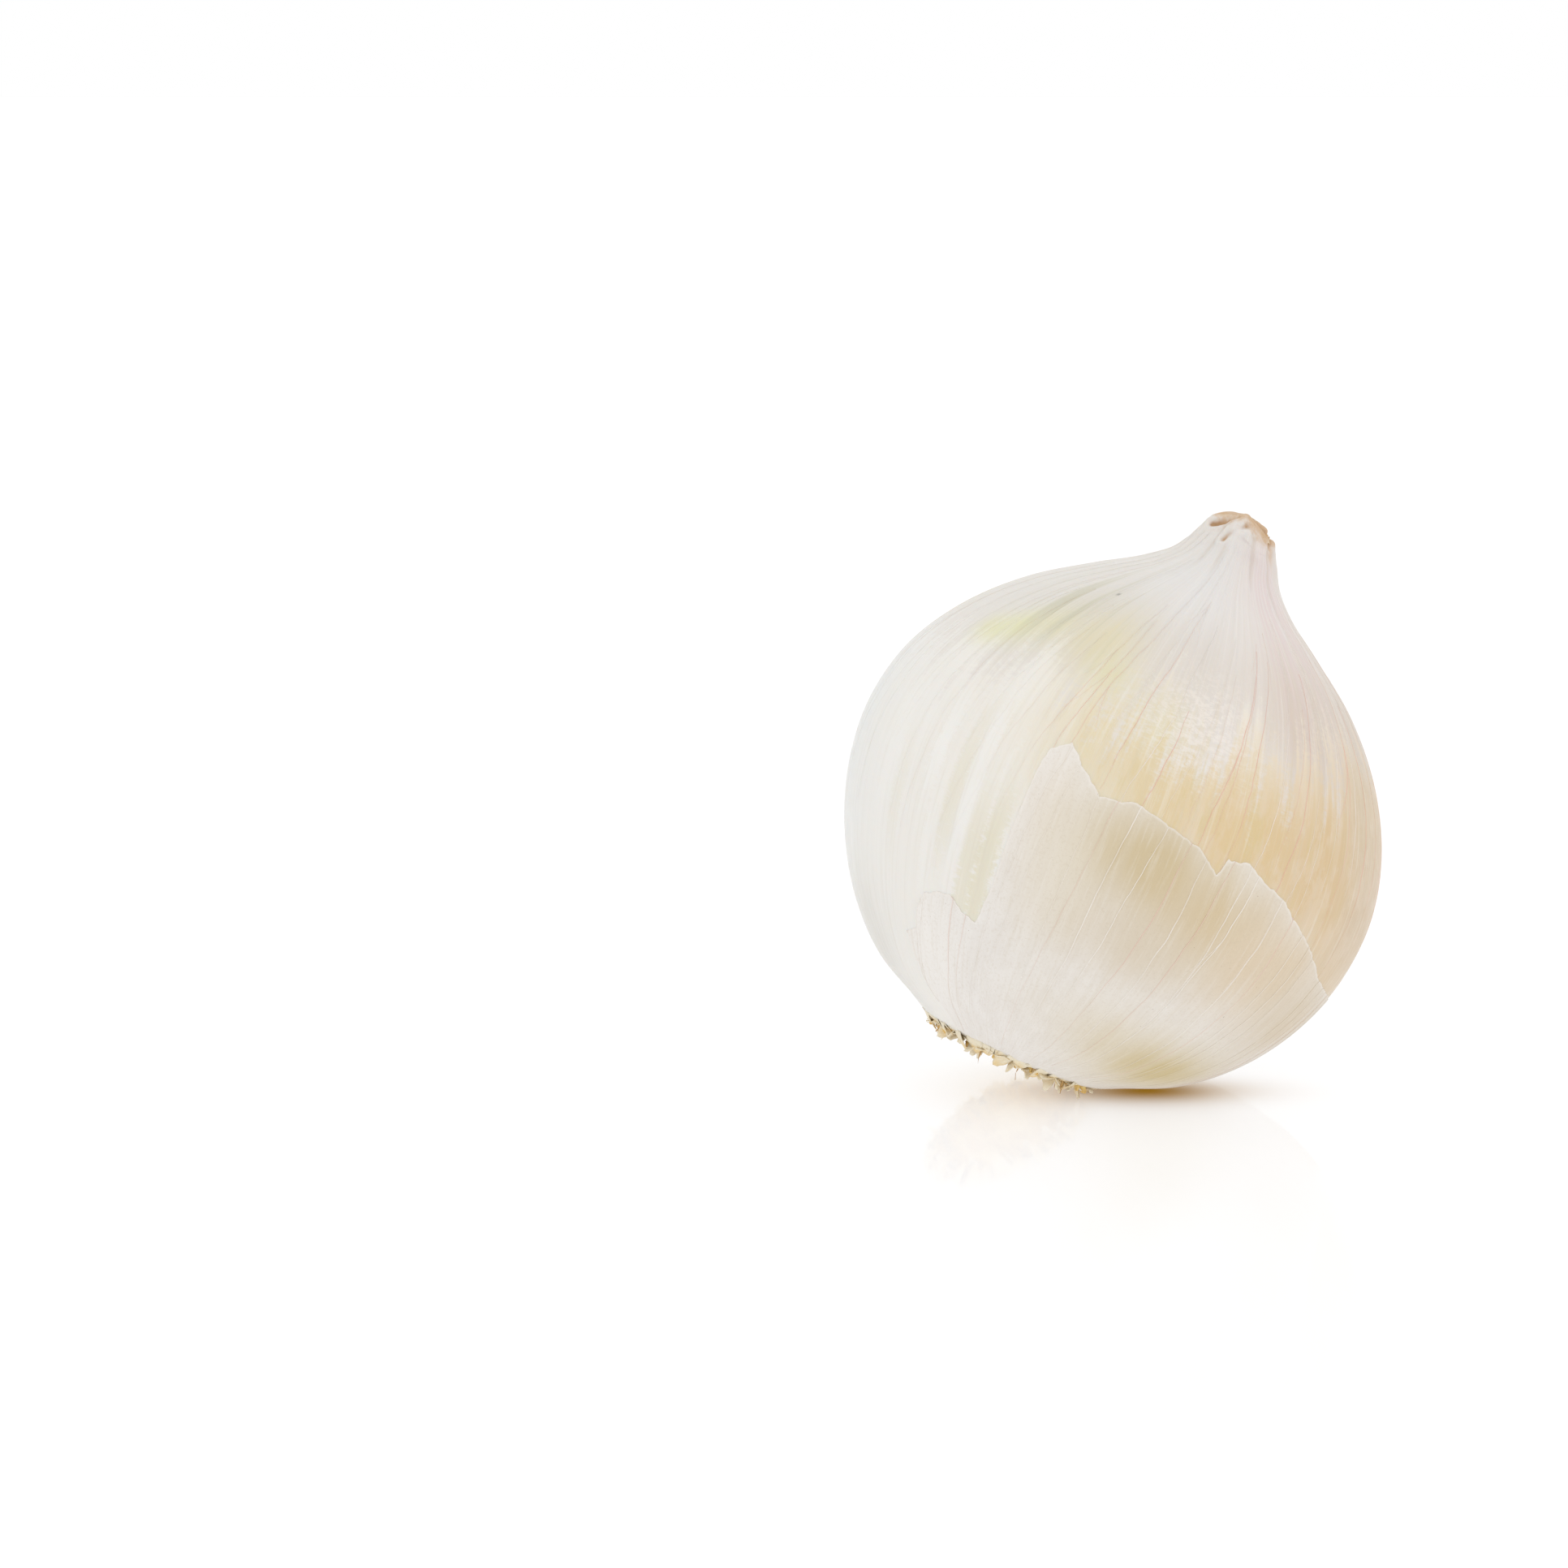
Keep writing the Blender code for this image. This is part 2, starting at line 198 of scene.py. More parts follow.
class Wire:
    """One output of a node. Sums, products and so on of wires and numbers add Math nodes."""

    def __init__(self, tree, socket=None):
        self.tree = tree
        self.socket = socket

    def node(self, kind, settings=None, sockets=None, output=0):
        """A new node of this kind in the same tree: first its settings, then its sockets' values or links."""
        made = self.tree.nodes.new(kind)
        for name, value in (settings or {}).items():
            setattr(made, name, value)
        feed(made, sockets or {})
        return Wire(self.tree, made.outputs[output])

    def output(self, key):
        return Wire(self.tree, self.socket.node.outputs[key])

    def math(self, operation, *others):
        """A Math node of this wire and these others."""
        return self.node("ShaderNodeMath", {"operation": operation}, dict(enumerate((self, *others))))

    def __rsub__(self, other):
        return self.node("ShaderNodeMath", {"operation": "SUBTRACT"}, {0: other, 1: self})

    __add__ = __radd__ = partialmethod(math, "ADD")
    __sub__ = partialmethod(math, "SUBTRACT")
    __mul__ = __rmul__ = partialmethod(math, "MULTIPLY")
    __truediv__ = partialmethod(math, "DIVIDE")
    __pow__ = partialmethod(math, "POWER")
    sine = partialmethod(math, "SINE")
    cosine = partialmethod(math, "COSINE")
    whole = partialmethod(math, "FLOOR")
    exponential = partialmethod(math, "EXPONENT")
    at_most = partialmethod(math, "MINIMUM")
    at_least = partialmethod(math, "MAXIMUM")

    def ease(self, start, end, low=0.0, high=1.0):
        """low before start, high after end, and a smooth change between."""
        sockets = {0: self, 1: start, 2: end, 3: low, 4: high}
        return self.node("ShaderNodeMapRange", {"interpolation_type": "SMOOTHSTEP"}, sockets)

    def vector(self, operation, other):
        return self.node("ShaderNodeVectorMath", {"operation": operation}, {0: self, 1: other})

    def scaled(self, amount):
        return self.node("ShaderNodeVectorMath", {"operation": "SCALE"}, {0: self, "Scale": amount})

    def joined(self, y, z):
        """The vector with this as its x."""
        return self.node("ShaderNodeCombineXYZ", None, {0: self, 1: y, 2: z})

    def parts(self):
        split = self.node("ShaderNodeSeparateXYZ", None, {0: self})
        return [split.output(key) for key in "XYZ"]

    def noise(self, scale, detail=2.0, roughness=0.5, distortion=0.0):
        """Noise between 0 and 1 at this place."""
        sockets = {"Vector": self, "Scale": scale, "Detail": detail, "Roughness": roughness}
        return self.node("ShaderNodeTexNoise", None, {**sockets, "Distortion": distortion})

    def pick(self, before, after):
        """The first colour where this mask is 0 and the second where it is 1, as wires or screen values."""
        before, after = (side if isinstance(side, Wire) else paint(*side) for side in (before, after))
        return self.node("ShaderNodeMix", {"data_type": "RGBA"}, {0: self, 6: before, 7: after}, output=2)


class Growth:
    """A Geometry Nodes tree that grows one piece, with a named input for each of its sizes."""

    SOCKETS = {int: "NodeSocketInt", float: "NodeSocketFloat", bpy.types.Object: "NodeSocketObject"}

    def __init__(self, name, sizes):
        self.name = name
        self.sizes = sizes
        self.tree = bpy.data.node_groups.new(name, "GeometryNodeTree")
        for label, size in sizes.items():
            self.tree.interface.new_socket(label, in_out="INPUT", socket_type=self.SOCKETS[type(size)])
        self.tree.interface.new_socket("Geometry", in_out="OUTPUT", socket_type="NodeSocketGeometry")
        self.start = Wire(self.tree)
        self.inputs = self.start.node("NodeGroupInput")

    def __getitem__(self, label):
        return self.inputs.output(label)

    def node(self, kind, settings=None, sockets=None, output=0):
        return self.start.node(kind, settings, sockets, output)

    def place(self):
        """Where each point of the geometry is."""
        return self.node("GeometryNodeInputPosition")

    def shape_of(self, label):
        """The geometry of the object that this input names."""
        return self.node("GeometryNodeObjectInfo", None, {0: self[label]}, "Geometry")

    def nearest(self, label, element):
        """The nearest place on the faces or edges of the object that this input names."""
        sockets = {0: self.shape_of(label), "Sample Position": self.place()}
        return self.node("GeometryNodeProximity", {"target_element": element}, sockets)

    def chance(self, which, draw, low=0.0, high=1.0):
        """A random number for each of these indexes. Draws of the same number are alike."""
        sockets = {2: low, 3: high, "ID": which, "Seed": self["Seed"] + draw}
        return self.node("FunctionNodeRandomValue", None, sockets, 1)

    def outline_at(self, share):
        """Radius and height at this share of the way along the profile."""
        sockets = {0: self.shape_of("Profile"), 2: share}
        radius, _, height = self.node("GeometryNodeSampleCurve", {"mode": "FACTOR"}, sockets, 1).parts()
        return radius, height

    def on_axis_frame(self, angle, radius, height):
        """The point of the onion's own frame at this angle in radians, radius and height."""
        sway = SWAY * (height.at_most(SWAY_LENGTH) * (FULL_TURN / SWAY_LENGTH)).sine()
        return (radius * angle.sine() + sway).joined(radius * angle.cosine() * -1, height)

    def moved(self, geometry, place=None, offset=None):
        sockets = {0: geometry}
        if place:
            sockets["Position"] = place
        if offset:
            sockets["Offset"] = offset
        return self.node("GeometryNodeSetPosition", None, sockets)

    def noted(self, geometry, name, value, kind="FLOAT"):
        """The geometry with this value kept on its points as an attribute."""
        sockets = {0: geometry, 2: name, 3: value}
        return self.node("GeometryNodeStoreNamedAttribute", {"data_type": kind}, sockets)

    def noted_growth(self, geometry, angle, height):
        """Keeps where points are on the onion: sine and cosine of their angle, and height in millimetres."""
        place = angle.sine().joined(angle.cosine(), height / MM)
        return self.noted(geometry, "growth", place, "FLOAT_VECTOR")

    def kept(self, name, kind="FLOAT"):
        """What the geometry keeps on its points under this name."""
        return self.node("GeometryNodeInputNamedAttribute", {"data_type": kind}, {0: name})

    def sheet(self, columns, rows):
        """A flat square of side 1 round the origin."""
        sockets = {"Size X": 1.0, "Size Y": 1.0, "Vertices X": columns, "Vertices Y": rows}
        return self.node("GeometryNodeMeshGrid", None, sockets)

    def line(self, count, ends=None):
        """A straight line of this many points."""
        whole = self.node("GeometryNodeCurvePrimitiveLine", None, ends)
        return self.node("GeometryNodeResampleCurve", None, {0: whole, "Count": count})

    def tubes(self, lines, sides, radius, width):
        """Closed tubes along lines, with the radius times the width at each point."""
        ring = self.node("GeometryNodeCurvePrimitiveCircle", None, {"Resolution": sides, "Radius": radius})
        sockets = {0: lines, 1: ring, "Scale": width, "Fill Caps": True}
        return self.node("GeometryNodeCurveToMesh", None, sockets)

    def real(self, geometry):
        return self.node("GeometryNodeRealizeInstances", None, {0: geometry})

    def crumpled(self, geometry, scale, amount):
        """The geometry with each point moved by noise."""
        waves = self.place().noise(scale, 2.0).output("Color").vector("SUBTRACT", (0.5, 0.5, 0.5))
        return self.moved(geometry, offset=waves.scaled(amount))

    def piece(self, geometry, finish):
        """Runs the tree with its sizes, and gives a plain mesh object in this finish."""
        dressed = self.node("GeometryNodeSetMaterial", None, {0: self.real(geometry), 2: finish})
        end = self.tree.nodes.new("NodeGroupOutput")
        self.tree.links.new(dressed.socket, end.inputs[0])
        holder = new_object(self.name, bpy.data.meshes.new(self.name))
        modifier = holder.modifiers.new("growth", "NODES")
        modifier.node_group = self.tree
        for item in self.tree.interface.items_tree:
            if item.in_out == "INPUT":
                modifier[item.identifier] = self.sizes[item.name]
        return plain(holder, self.name)


class SkinPlace:
    """Where a shaded point is on the onion, for masks and grain that follow how it grew."""

    def __init__(self, tree):
        place = Wire(tree).node("ShaderNodeAttribute", {"attribute_name": "growth"}, None, "Vector")
        self.sine, self.cosine, self.height = place.parts()

    def near(self, angle, height, width, rise):
        """1 at this angle and height, fading over a width in degrees and a rise in millimetres."""
        a = radians(angle)
        facing = self.sine * math.sin(a) + self.cosine * math.cos(a)
        across = (1 - facing) * (2 / radians(width) ** 2)
        up = (self.height - height) / rise
        return ((across + up * up) * -1).exponential()

    def kept(self, name):
        """A number that the geometry keeps on its points."""
        return self.sine.node("ShaderNodeAttribute", {"attribute_name": name}, None, "Fac")

    def grain(self, around, along, detail=3.0, roughness=0.55, shift=0.0, distortion=0.0):
        """Noise drawn out lengthwise: features a radian, and features a millimetre."""
        place = (self.sine * around).joined(self.cosine * around, self.height * along + shift)
        return place.noise(1.0, detail, roughness, distortion)


def paint(red, green, blue):
    """A colour in linear light from its values of 0 to 255 on a screen."""
    values = [value / 255 for value in (red, green, blue)]
    return tuple(v / 12.92 if v <= 0.04045 else ((v + 0.055) / 1.055) ** 2.4 for v in values) + (1.0,)


def smooth_curve(points, steps):
    """Points of a smooth curve through these, with the same number of steps in each span."""
    points = np.array(points, float)
    spans = np.linalg.norm(np.diff(points, axis=0), axis=1)
    along = np.concatenate([[0], np.cumsum(spans)])
    slopes = np.gradient(points, along, axis=0)
    curve = []
    for i, span in enumerate(spans):
        for step in range(steps):
            t = step / steps
            curve.append(
                (2 * t**3 - 3 * t**2 + 1) * points[i]
                + (t**3 - 2 * t**2 + t) * span * slopes[i]
                + (3 * t**2 - 2 * t**3) * points[i + 1]
                + (t**3 - t**2) * span * slopes[i + 1]
            )
    curve.append(points[-1])
    return np.array(curve)


def pushed_out(curve, distance):
    """The curve moved outward, square to itself."""
    tangents = np.gradient(curve, axis=0)
    tangents /= np.linalg.norm(tangents, axis=1, keepdims=True)
    return curve + distance * np.stack([tangents[:, 1], -tangents[:, 0]], axis=1)


def on_axis_frame(angle, radius, height):
    """A point of the onion's own frame from its angle in radians, its radius and its height."""
    sway = SWAY * np.sin(2 * np.pi * np.minimum(height, SWAY_LENGTH) / SWAY_LENGTH)
    parts = np.broadcast_arrays(radius * np.sin(angle) + sway, -radius * np.cos(angle), height)
    return np.stack(parts, -1)


def lying_matrix():
    """The onion's own frame to world space, the same as in its solids."""
    leaning = Matrix.Rotation(HEADING, 4, "Z") @ Matrix.Rotation(LEAN, 4, "Y")
    turned = leaning @ Matrix.Rotation(SPIN, 4, "Z")
    skin = pushed_out(smooth_curve(OUTLINE, SOLID_STEPS) * MM, SKIN_OUT)
    points = [turned @ Vector(place) for place in on_axis_frame(math.pi / 2 - SPIN, skin[:, 0], skin[:, 1])]
    lowest = min(points, key=lambda point: point.z)
    return Matrix.Translation(Vector((-lowest.x, -lowest.y, -lowest.z - SPOT_SINK))) @ turned


LYING = lying_matrix()
PROFILE = smooth_curve(OUTLINE, PROFILE_STEPS) * MM
PROFILE_ALONG = np.concatenate([[0], np.cumsum(np.linalg.norm(np.diff(PROFILE, axis=0), axis=1))])


def along_at(height):
    """How far along the profile the body reaches this height in millimetres."""
    rising = PROFILE[:, 1].argmin()
    return np.interp(height * MM, PROFILE[rising:, 1], PROFILE_ALONG[rising:])


def share_at(height):
    """The share of the profile's length where the body reaches this height in millimetres."""
    return float(along_at(height) / PROFILE_ALONG[-1])


def new_object(name, data):
    made = bpy.data.objects.new(name, data)
    bpy.context.scene.collection.objects.link(made)
    return made


def plain(source, name):
    """A plain mesh object of what this object's modifiers make, in place of the object."""
    bpy.context.view_layer.update()
    graph = bpy.context.evaluated_depsgraph_get()
    mesh = bpy.data.meshes.new_from_object(source.evaluated_get(graph))
    bpy.data.objects.remove(source)
    mesh.name = name
    mesh.shade_smooth()
    return new_object(name, mesh)


def thickened(sheet, name, thickness, offset):
    """The sheet with a thickness: all of it outward at offset 1, and half to each side at 0."""
    solidify = sheet.modifiers.new("thickness", "SOLIDIFY")
    solidify.thickness = thickness
    solidify.offset = offset
    return plain(sheet, name)


def mesh_of(name, bm):
    mesh = bpy.data.meshes.new(name)
    bm.to_mesh(mesh)
    bm.free()
    return mesh


def lay_down(piece, lowest):
    """Turns a piece from the onion's own frame to how it lies, flat where it would go under this height."""
    piece.data.transform(LYING)
    for vert in piece.data.vertices:
        vert.co.z = max(vert.co.z, lowest)
    piece.data.update()


def profile_object():
    """The outline as a curve that the trees read."""
    curve = bpy.data.curves.new("profile", "CURVE")
    curve.dimensions = "3D"
    spline = curve.splines.new("POLY")
    spline.points.add(len(PROFILE) - 1)
    for point, (radius, height) in zip(spline.points, PROFILE):
        point.co = (radius, 0, height, 1)
    return new_object("profile", curve)


def line_object(name, lines):
    """Edges that follow these lines of angle and height over the upper surface."""
    top_half = PROFILE[len(PROFILE) // 2 :]
    bm = bmesh.new()
    for line in lines:
        path = smooth_curve(line, LINE_STEPS)
        radius = np.interp(path[:, 1] * MM, top_half[:, 1], top_half[:, 0])
        places = on_axis_frame(np.radians(path[:, 0]), radius, path[:, 1] * MM)
        verts = [bm.verts.new(place) for place in places]
        for first, second in zip(verts, verts[1:]):
            bm.edges.new((first, second))
    return new_object(name, mesh_of(name, bm))


def crease(growth, geometry, lines, depth, width, share=1.0):
    """Presses these lines into the surface by a share of the depth, and keeps how near each point is."""
    apart = growth.nearest(lines, "EDGES").output("Distance") / growth[width]
    pressed = (apart * apart * -1).exponential()
    beside = apart - SWELL_PLACE
    swell = (beside * beside * -1).exponential()
    normal = growth.node("GeometryNodeInputNormal")
    offset = normal.scaled((swell * SWELL_SHARE - pressed) * growth[depth] * share)
    return growth.moved(growth.noted(geometry, lines, pressed * share), offset=offset)


def waves_round(angle, waves):
    """The sum of waves, each with its number round the onion, its share and its start."""
    return sum((angle * count + start).cosine() * share for count, share, start in waves)


def make_bulb(profile, slits, fold_lines, finish):
    """The bulb: its outline turned round the axis, ribbed, folded at the neck and creased at the tip."""
    growth = Growth("onion_bulb", {
        "Profile": profile, "slits": slits, "fold_lines": fold_lines, "Columns": 401, "Rings": 240,
        "Rib depth": 0.17 * MM, "Fold depth": 0.33 * MM, "Tip wave": 0.6 * MM, "Unevenness": 0.5 * MM,
        "Ridge depth": 0.22 * MM, "Slit depth": 0.75 * MM, "Slit width": 0.5 * MM, "Line depth": 0.16 * MM,
        "Line width": 0.5 * MM,
    })
    across, up, _ = growth.place().parts()
    angle = (across + 0.5) * FULL_TURN
    share = up + 0.5
    radius, height = growth.outline_at(share - END_CROWDING * (share * FULL_TURN).sine())
    off_axis = (radius / NECK_RADIUS).at_most(1.0)
    on_neck = height.ease(*FOLD_SPAN)
    ribs = waves_round(angle, RIB_WAVES) * height.ease(*RIB_SPAN) * (1 - on_neck)
    turn = (height - FOLD_SPAN[0]) * (math.pi / 2 / (FOLD_SPAN[1] - FOLD_SPAN[0]))
    turning = [(count, part, turn * side) for count, part, side in FOLD_WAVES]
    folds = waves_round(angle, turning) * on_neck * off_axis
    folded = radius + ribs * growth["Rib depth"] + folds * growth["Fold depth"]
    waves = waves_round(angle, TIP_WAVES) * height.ease(*TIP_SPAN) * off_axis
    raised = height + waves * growth["Tip wave"]
    direction = angle.sine().joined(angle.cosine(), 0.0)
    upward = (0.0 * height).joined(0.0, height * RIDGES_ALONG)
    grain = direction.scaled(RIDGES_AROUND).vector("ADD", upward).noise(1.0, 4.0, 0.6) - 0.5
    ridges = grain * height.ease(*RIDGE_SPAN, RIDGE_LOW, 1.0) * off_axis * growth["Ridge depth"]
    place = growth.on_axis_frame(angle, (folded + ridges).at_least(0.0), raised)
    uneven = (place.noise(45.0, 1.0) - 0.5) * growth["Unevenness"] * off_axis
    place = place.vector("ADD", direction.vector("MULTIPLY", (1.0, -1.0, 0.0)).scaled(uneven))
    sheet = growth.noted_growth(growth.sheet(growth["Columns"], growth["Rings"]), angle, height)
    sockets = {0: growth.moved(sheet, place), "Distance": SEAM_WIDTH}
    body = growth.node("GeometryNodeMergeByDistance", None, sockets)
    height_kept = growth.kept("growth", "FLOAT_VECTOR").parts()[2]
    body = crease(growth, body, "fold_lines", "Line depth", "Line width", height_kept.ease(*FOLD_LINE_FADE))
    body = crease(growth, body, "slits", "Slit depth", "Slit width")
    return growth.piece(body, finish)


def on_skin_plane(points):
    """Angle and height turned to metres on the unrolled skin: round it, and along its profile."""
    points = np.array(points, float)
    return np.stack([np.radians(points[:, 0]) * UNROLL_RADIUS, along_at(points[:, 1])], axis=1)


def ragged(points):
    """The outline with a point every small step, moved sideways most where it tore across the grain."""
    edge = []
    for first, second in zip(points, np.roll(points, -1, axis=0)):
        run = second - first
        length = np.linalg.norm(run)
        count = max(int(length / EDGE_STEP), 1)
        sideways = np.array([-run[1], run[0]]) / length
        across_grain = 0.25 + 0.75 * abs(run[0]) / length
        for k in range(count):
            point = first + run * k / count
            place = Vector((point[0], point[1], 0)) / MM
            wave = noise.fractal(place * 0.9, 0.6, 2.0, 4) + 0.5 * noise.noise(place * 0.35)
            edge.append(point + sideways * wave * EDGE_RAGGED * across_grain)
    return np.array(edge)


def inside(points, edge):
    """Which points lie inside the closed outline."""
    result = np.zeros(len(points), bool)
    for (x0, y0), (x1, y1) in zip(edge, np.roll(edge, -1, axis=0)):
        if y0 != y1:
            crosses = (points[:, 1] < y0) != (points[:, 1] < y1)
            result ^= crosses & (points[:, 0] < x0 + (points[:, 1] - y0) * (x1 - x0) / (y1 - y0))
    return result


def nearest_apart(points, others):
    """How far each point is from the nearest of the others."""
    return np.concatenate([
        np.sqrt(((chunk[:, None] - others[None]) ** 2).sum(-1)).min(1) for chunk in np.array_split(points, 64)
    ])


def skin_grid(edge):
    """Points of an even triangular grid inside the outline, clear of its edge."""
    low, high = edge.min(0), edge.max(0)
    columns = np.arange(low[0], high[0], SKIN_MESH)
    rows = np.arange(low[1], high[1], SKIN_MESH * math.sqrt(0.75))
    grid = np.array([(x + SKIN_MESH / 2 * (k % 2), y) for k, y in enumerate(rows) for x in columns])
    grid = grid[inside(grid, edge)]
    return grid[nearest_apart(grid, edge) > EDGE_CLEARANCE]


def make_outer_skin(bulb, finish):
    """The loose papery skin: a ragged sheet on the bulb, lifting a hair along its torn edge."""
    lower_half = slice(len(PROFILE) // 2)
    bottom = np.interp(SKIN_BOTTOM_RADIUS, PROFILE[lower_half, 0], PROFILE_ALONG[lower_half])
    torn = on_skin_plane(TORN_EDGE)
    corner = radians(LOWER_CORNER_TURN) * UNROLL_RADIUS
    lower = [(torn[-1, 0] - corner, bottom), (torn[0, 0] + corner, bottom)]
    edge = ragged(np.concatenate([torn, lower]))
    points = [Vector(point / MM) for point in np.concatenate([edge, skin_grid(edge)])]
    flat, _, faces, *_ = delaunay_2d_cdt(points, [], [list(range(len(edge)))], 1, 1e-6)
    flat = np.array(flat) * MM
    angle = flat[:, 0] / UNROLL_RADIUS
    radius, height = (np.interp(flat[:, 1], PROFILE_ALONG, PROFILE[:, axis]) for axis in (0, 1))
    from_torn = nearest_apart(flat, edge[edge[:, 1] > bottom + 1 * MM])
    bulb_faces = [face.vertices for face in bulb.data.polygons]
    surface = BVHTree.FromPolygons([vert.co for vert in bulb.data.vertices], bulb_faces)
    places = []
    for place, apart in zip(on_axis_frame(angle, radius, height), from_torn):
        touching, normal, _, _ = surface.find_nearest(Vector(place))
        swell = 0.5 + noise.noise(touching / MM * 0.11)
        lift = SKIN_LIFT * max(swell, 0.1) * math.exp(-((apart / LIFT_WIDTH) ** 2))
        places.append(touching + normal * (SKIN_GAP + lift))
    mesh = bpy.data.meshes.new("outer_skin_sheet")
    mesh.from_pydata(places, [], faces)
    mesh.materials.append(finish)
    growth = np.stack([np.sin(angle), np.cos(angle), height / MM], axis=1)
    kept = mesh.attributes.new("growth", "FLOAT_VECTOR", "POINT")
    kept.data.foreach_set("vector", growth.astype(np.float32).ravel())
    rim = mesh.attributes.new("rim", "FLOAT", "POINT")
    rim.data.foreach_set("value", np.exp(-((from_torn / RIM_WIDTH) ** 2)).astype(np.float32))
    sheet = new_object("outer_skin_sheet", mesh)
    skin = thickened(sheet, "onion_outer_skin", SKIN_THICKNESS, 1)
    skin.data.set_sharp_from_angle(angle=SKIN_SHARP_ANGLE)
    return skin, len(places)


def strands(growth, label):
    """This many splines, the index of the spline that each point is on, and its share of the way along it."""
    sockets = {0: growth.line(growth["Steps"]), "Amount": growth[label]}
    many = growth.node("GeometryNodeDuplicateElements", {"domain": "SPLINE"}, sockets)
    return many, many.output(1), growth.node("GeometryNodeSplineParameter")


def drawn(growth, lines, angle, share, thickness):
    """Sets lines on the surface, drops what runs off it, and gives them their thickness."""
    radius, height = growth.outline_at(share)
    lines = growth.noted_growth(growth.noted(lines, "thickness", thickness), angle, height)
    lines = growth.moved(lines, growth.on_axis_frame(angle, radius, height))
    outward = growth.place().vector("SUBTRACT", ONION_MIDDLE).vector("NORMALIZE", (0, 0, 0))
    lines = growth.moved(lines, offset=outward.scaled(growth["Outward"]))
    touching = growth.nearest("Surface", "FACES")
    off_it = touching.output("Distance").math("GREATER_THAN", growth["Reach"])
    lines = growth.node("GeometryNodeDeleteGeometry", {"domain": "POINT"}, {0: lines, 1: off_it})
    lines = growth.moved(lines, touching)
    return growth.tubes(lines, VEIN_SIDES, growth["Thickness"], growth.kept("thickness"))


def vein_angle(growth, which, share):
    """The angle of one vein at this share of the profile: it drifts and wavers on its way down."""
    height = growth.outline_at(share)[1] / MM
    first = (which + growth.chance(which, 0, -0.42, 0.42)) * FULL_TURN / growth["Count"]
    drift = (height - VEIN_MIDDLE) * growth["Drift"] * growth.chance(which, 1, 0.6, 1.4)
    place = (which * 7.3).joined(height * 0.06, growth["Seed"] * 1.0)
    return first + drift + (place.noise(1.0, 3.0, 0.6) - 0.5) * growth["Waver"]


def make_veins(name, profile, surface, finish, sizes):
    """Fine veins that run down a surface from the neck, with forks that leave some of them."""
    growth = Growth(name, {"Profile": profile, "Surface": surface, **sizes})
    main, which, part = strands(growth, "Count")
    top = growth["Top"] - growth.chance(which, 2) * growth["Top spread"]
    bottom = growth["Bottom"] + growth.chance(which, 3) * growth["Bottom spread"]
    share = top + (bottom - top) * part
    thickness = (1 - part * part * 0.6) * growth.chance(which, 4, 0.45, 1.0)
    main = growth.noted(main, "tone", growth.chance(which, 9))
    veins = drawn(growth, main, vein_angle(growth, which, share), share, thickness)

    forks, fork, part = strands(growth, "Forks")
    parent = (growth.chance(fork, 5, 0.0, 0.999) * growth["Count"]).whole()
    fork_top = growth["Bottom"] + (growth["Top"] - growth["Bottom"]) * growth.chance(fork, 6, 0.45, 0.8)
    share = fork_top - part * growth["Fork length"] * growth.chance(fork, 7, 0.5, 1.3)
    aside = growth.chance(fork, 8, -1.0, 1.0) * (part ** 1.4) * growth["Fork spread"]
    forks = growth.noted(forks, "tone", growth.chance(parent, 9))
    angle = vein_angle(growth, parent, share) + aside
    branches = drawn(growth, forks, angle, share, (1 - part * 0.7) * 0.5)
    both = growth.node("GeometryNodeJoinGeometry")
    for lines in (veins, branches):
        growth.tree.links.new(lines.socket, both.socket.node.inputs[0])
    made = growth.piece(both, finish)
    made.data.shade_flat()
    return made


def make_root_plate(finish):
    """The corky disc that the roots grow from: rings of low bumps round a sunken heart."""
    curve = smooth_curve(PLATE_OUTLINE, PLATE_STEPS) * MM
    bm = bmesh.new()
    rings = []
    for radius, height in curve[1:]:
        ring = []
        for k in range(PLATE_SIDES):
            angle = FULL_TURN * k / PLATE_SIDES
            place = Vector((radius * math.sin(angle), -radius * math.cos(angle), 0)) / MM
            bumps = PLATE_BUMPS * noise.fractal(place * 0.55, 0.7, 2.0, 3) * MM
            ring.append(bm.verts.new(on_axis_frame(angle, radius + bumps * 0.4, height + bumps)))
        rings.append(ring)
    heart = bm.verts.new(on_axis_frame(0, 0, curve[0, 1]))
    back = bm.verts.new(on_axis_frame(0, 0, PLATE_BACK))
    for k in range(PLATE_SIDES):
        after = (k + 1) % PLATE_SIDES
        bm.faces.new((heart, rings[0][k], rings[0][after]))
        bm.faces.new((rings[-1][after], rings[-1][k], back))
        for inner, outer in zip(rings, rings[1:]):
            bm.faces.new((inner[k], outer[k], outer[after], inner[after]))
    bmesh.ops.recalc_face_normals(bm, faces=bm.faces)
    mesh = mesh_of("onion_root_plate", bm)
    mesh.shade_smooth()
    mesh.materials.append(finish)
    return new_object("onion_root_plate", mesh)


def planted(growth, shape, angle, radius, heading, splay, up, size, facing_out=False):
    """The shape at each of these places, leaning by its splay from the axis toward its heading."""
    place = growth.on_axis_frame(angle, radius, growth["Height"])
    points = growth.node("GeometryNodePoints", None, {"Count": growth["Count"], "Position": place})
    x = heading.sine()
    y = heading.cosine() * -1
    aim = (x * splay.sine()).joined(y * splay.sine(), splay.cosine() * up)
    turned = growth.node("FunctionNodeAlignRotationToVector", {"axis": "Z"}, {"Vector": aim})
    if facing_out:
        sockets = {"Rotation": turned, "Vector": x.joined(y, 0.0)}
        turned = growth.node("FunctionNodeAlignRotationToVector", {"axis": "Y", "pivot_axis": "Z"}, sockets)
    sockets = {0: points, "Instance": shape, "Rotation": turned, "Scale": size}
    return growth.real(growth.node("GeometryNodeInstanceOnPoints", None, sockets))


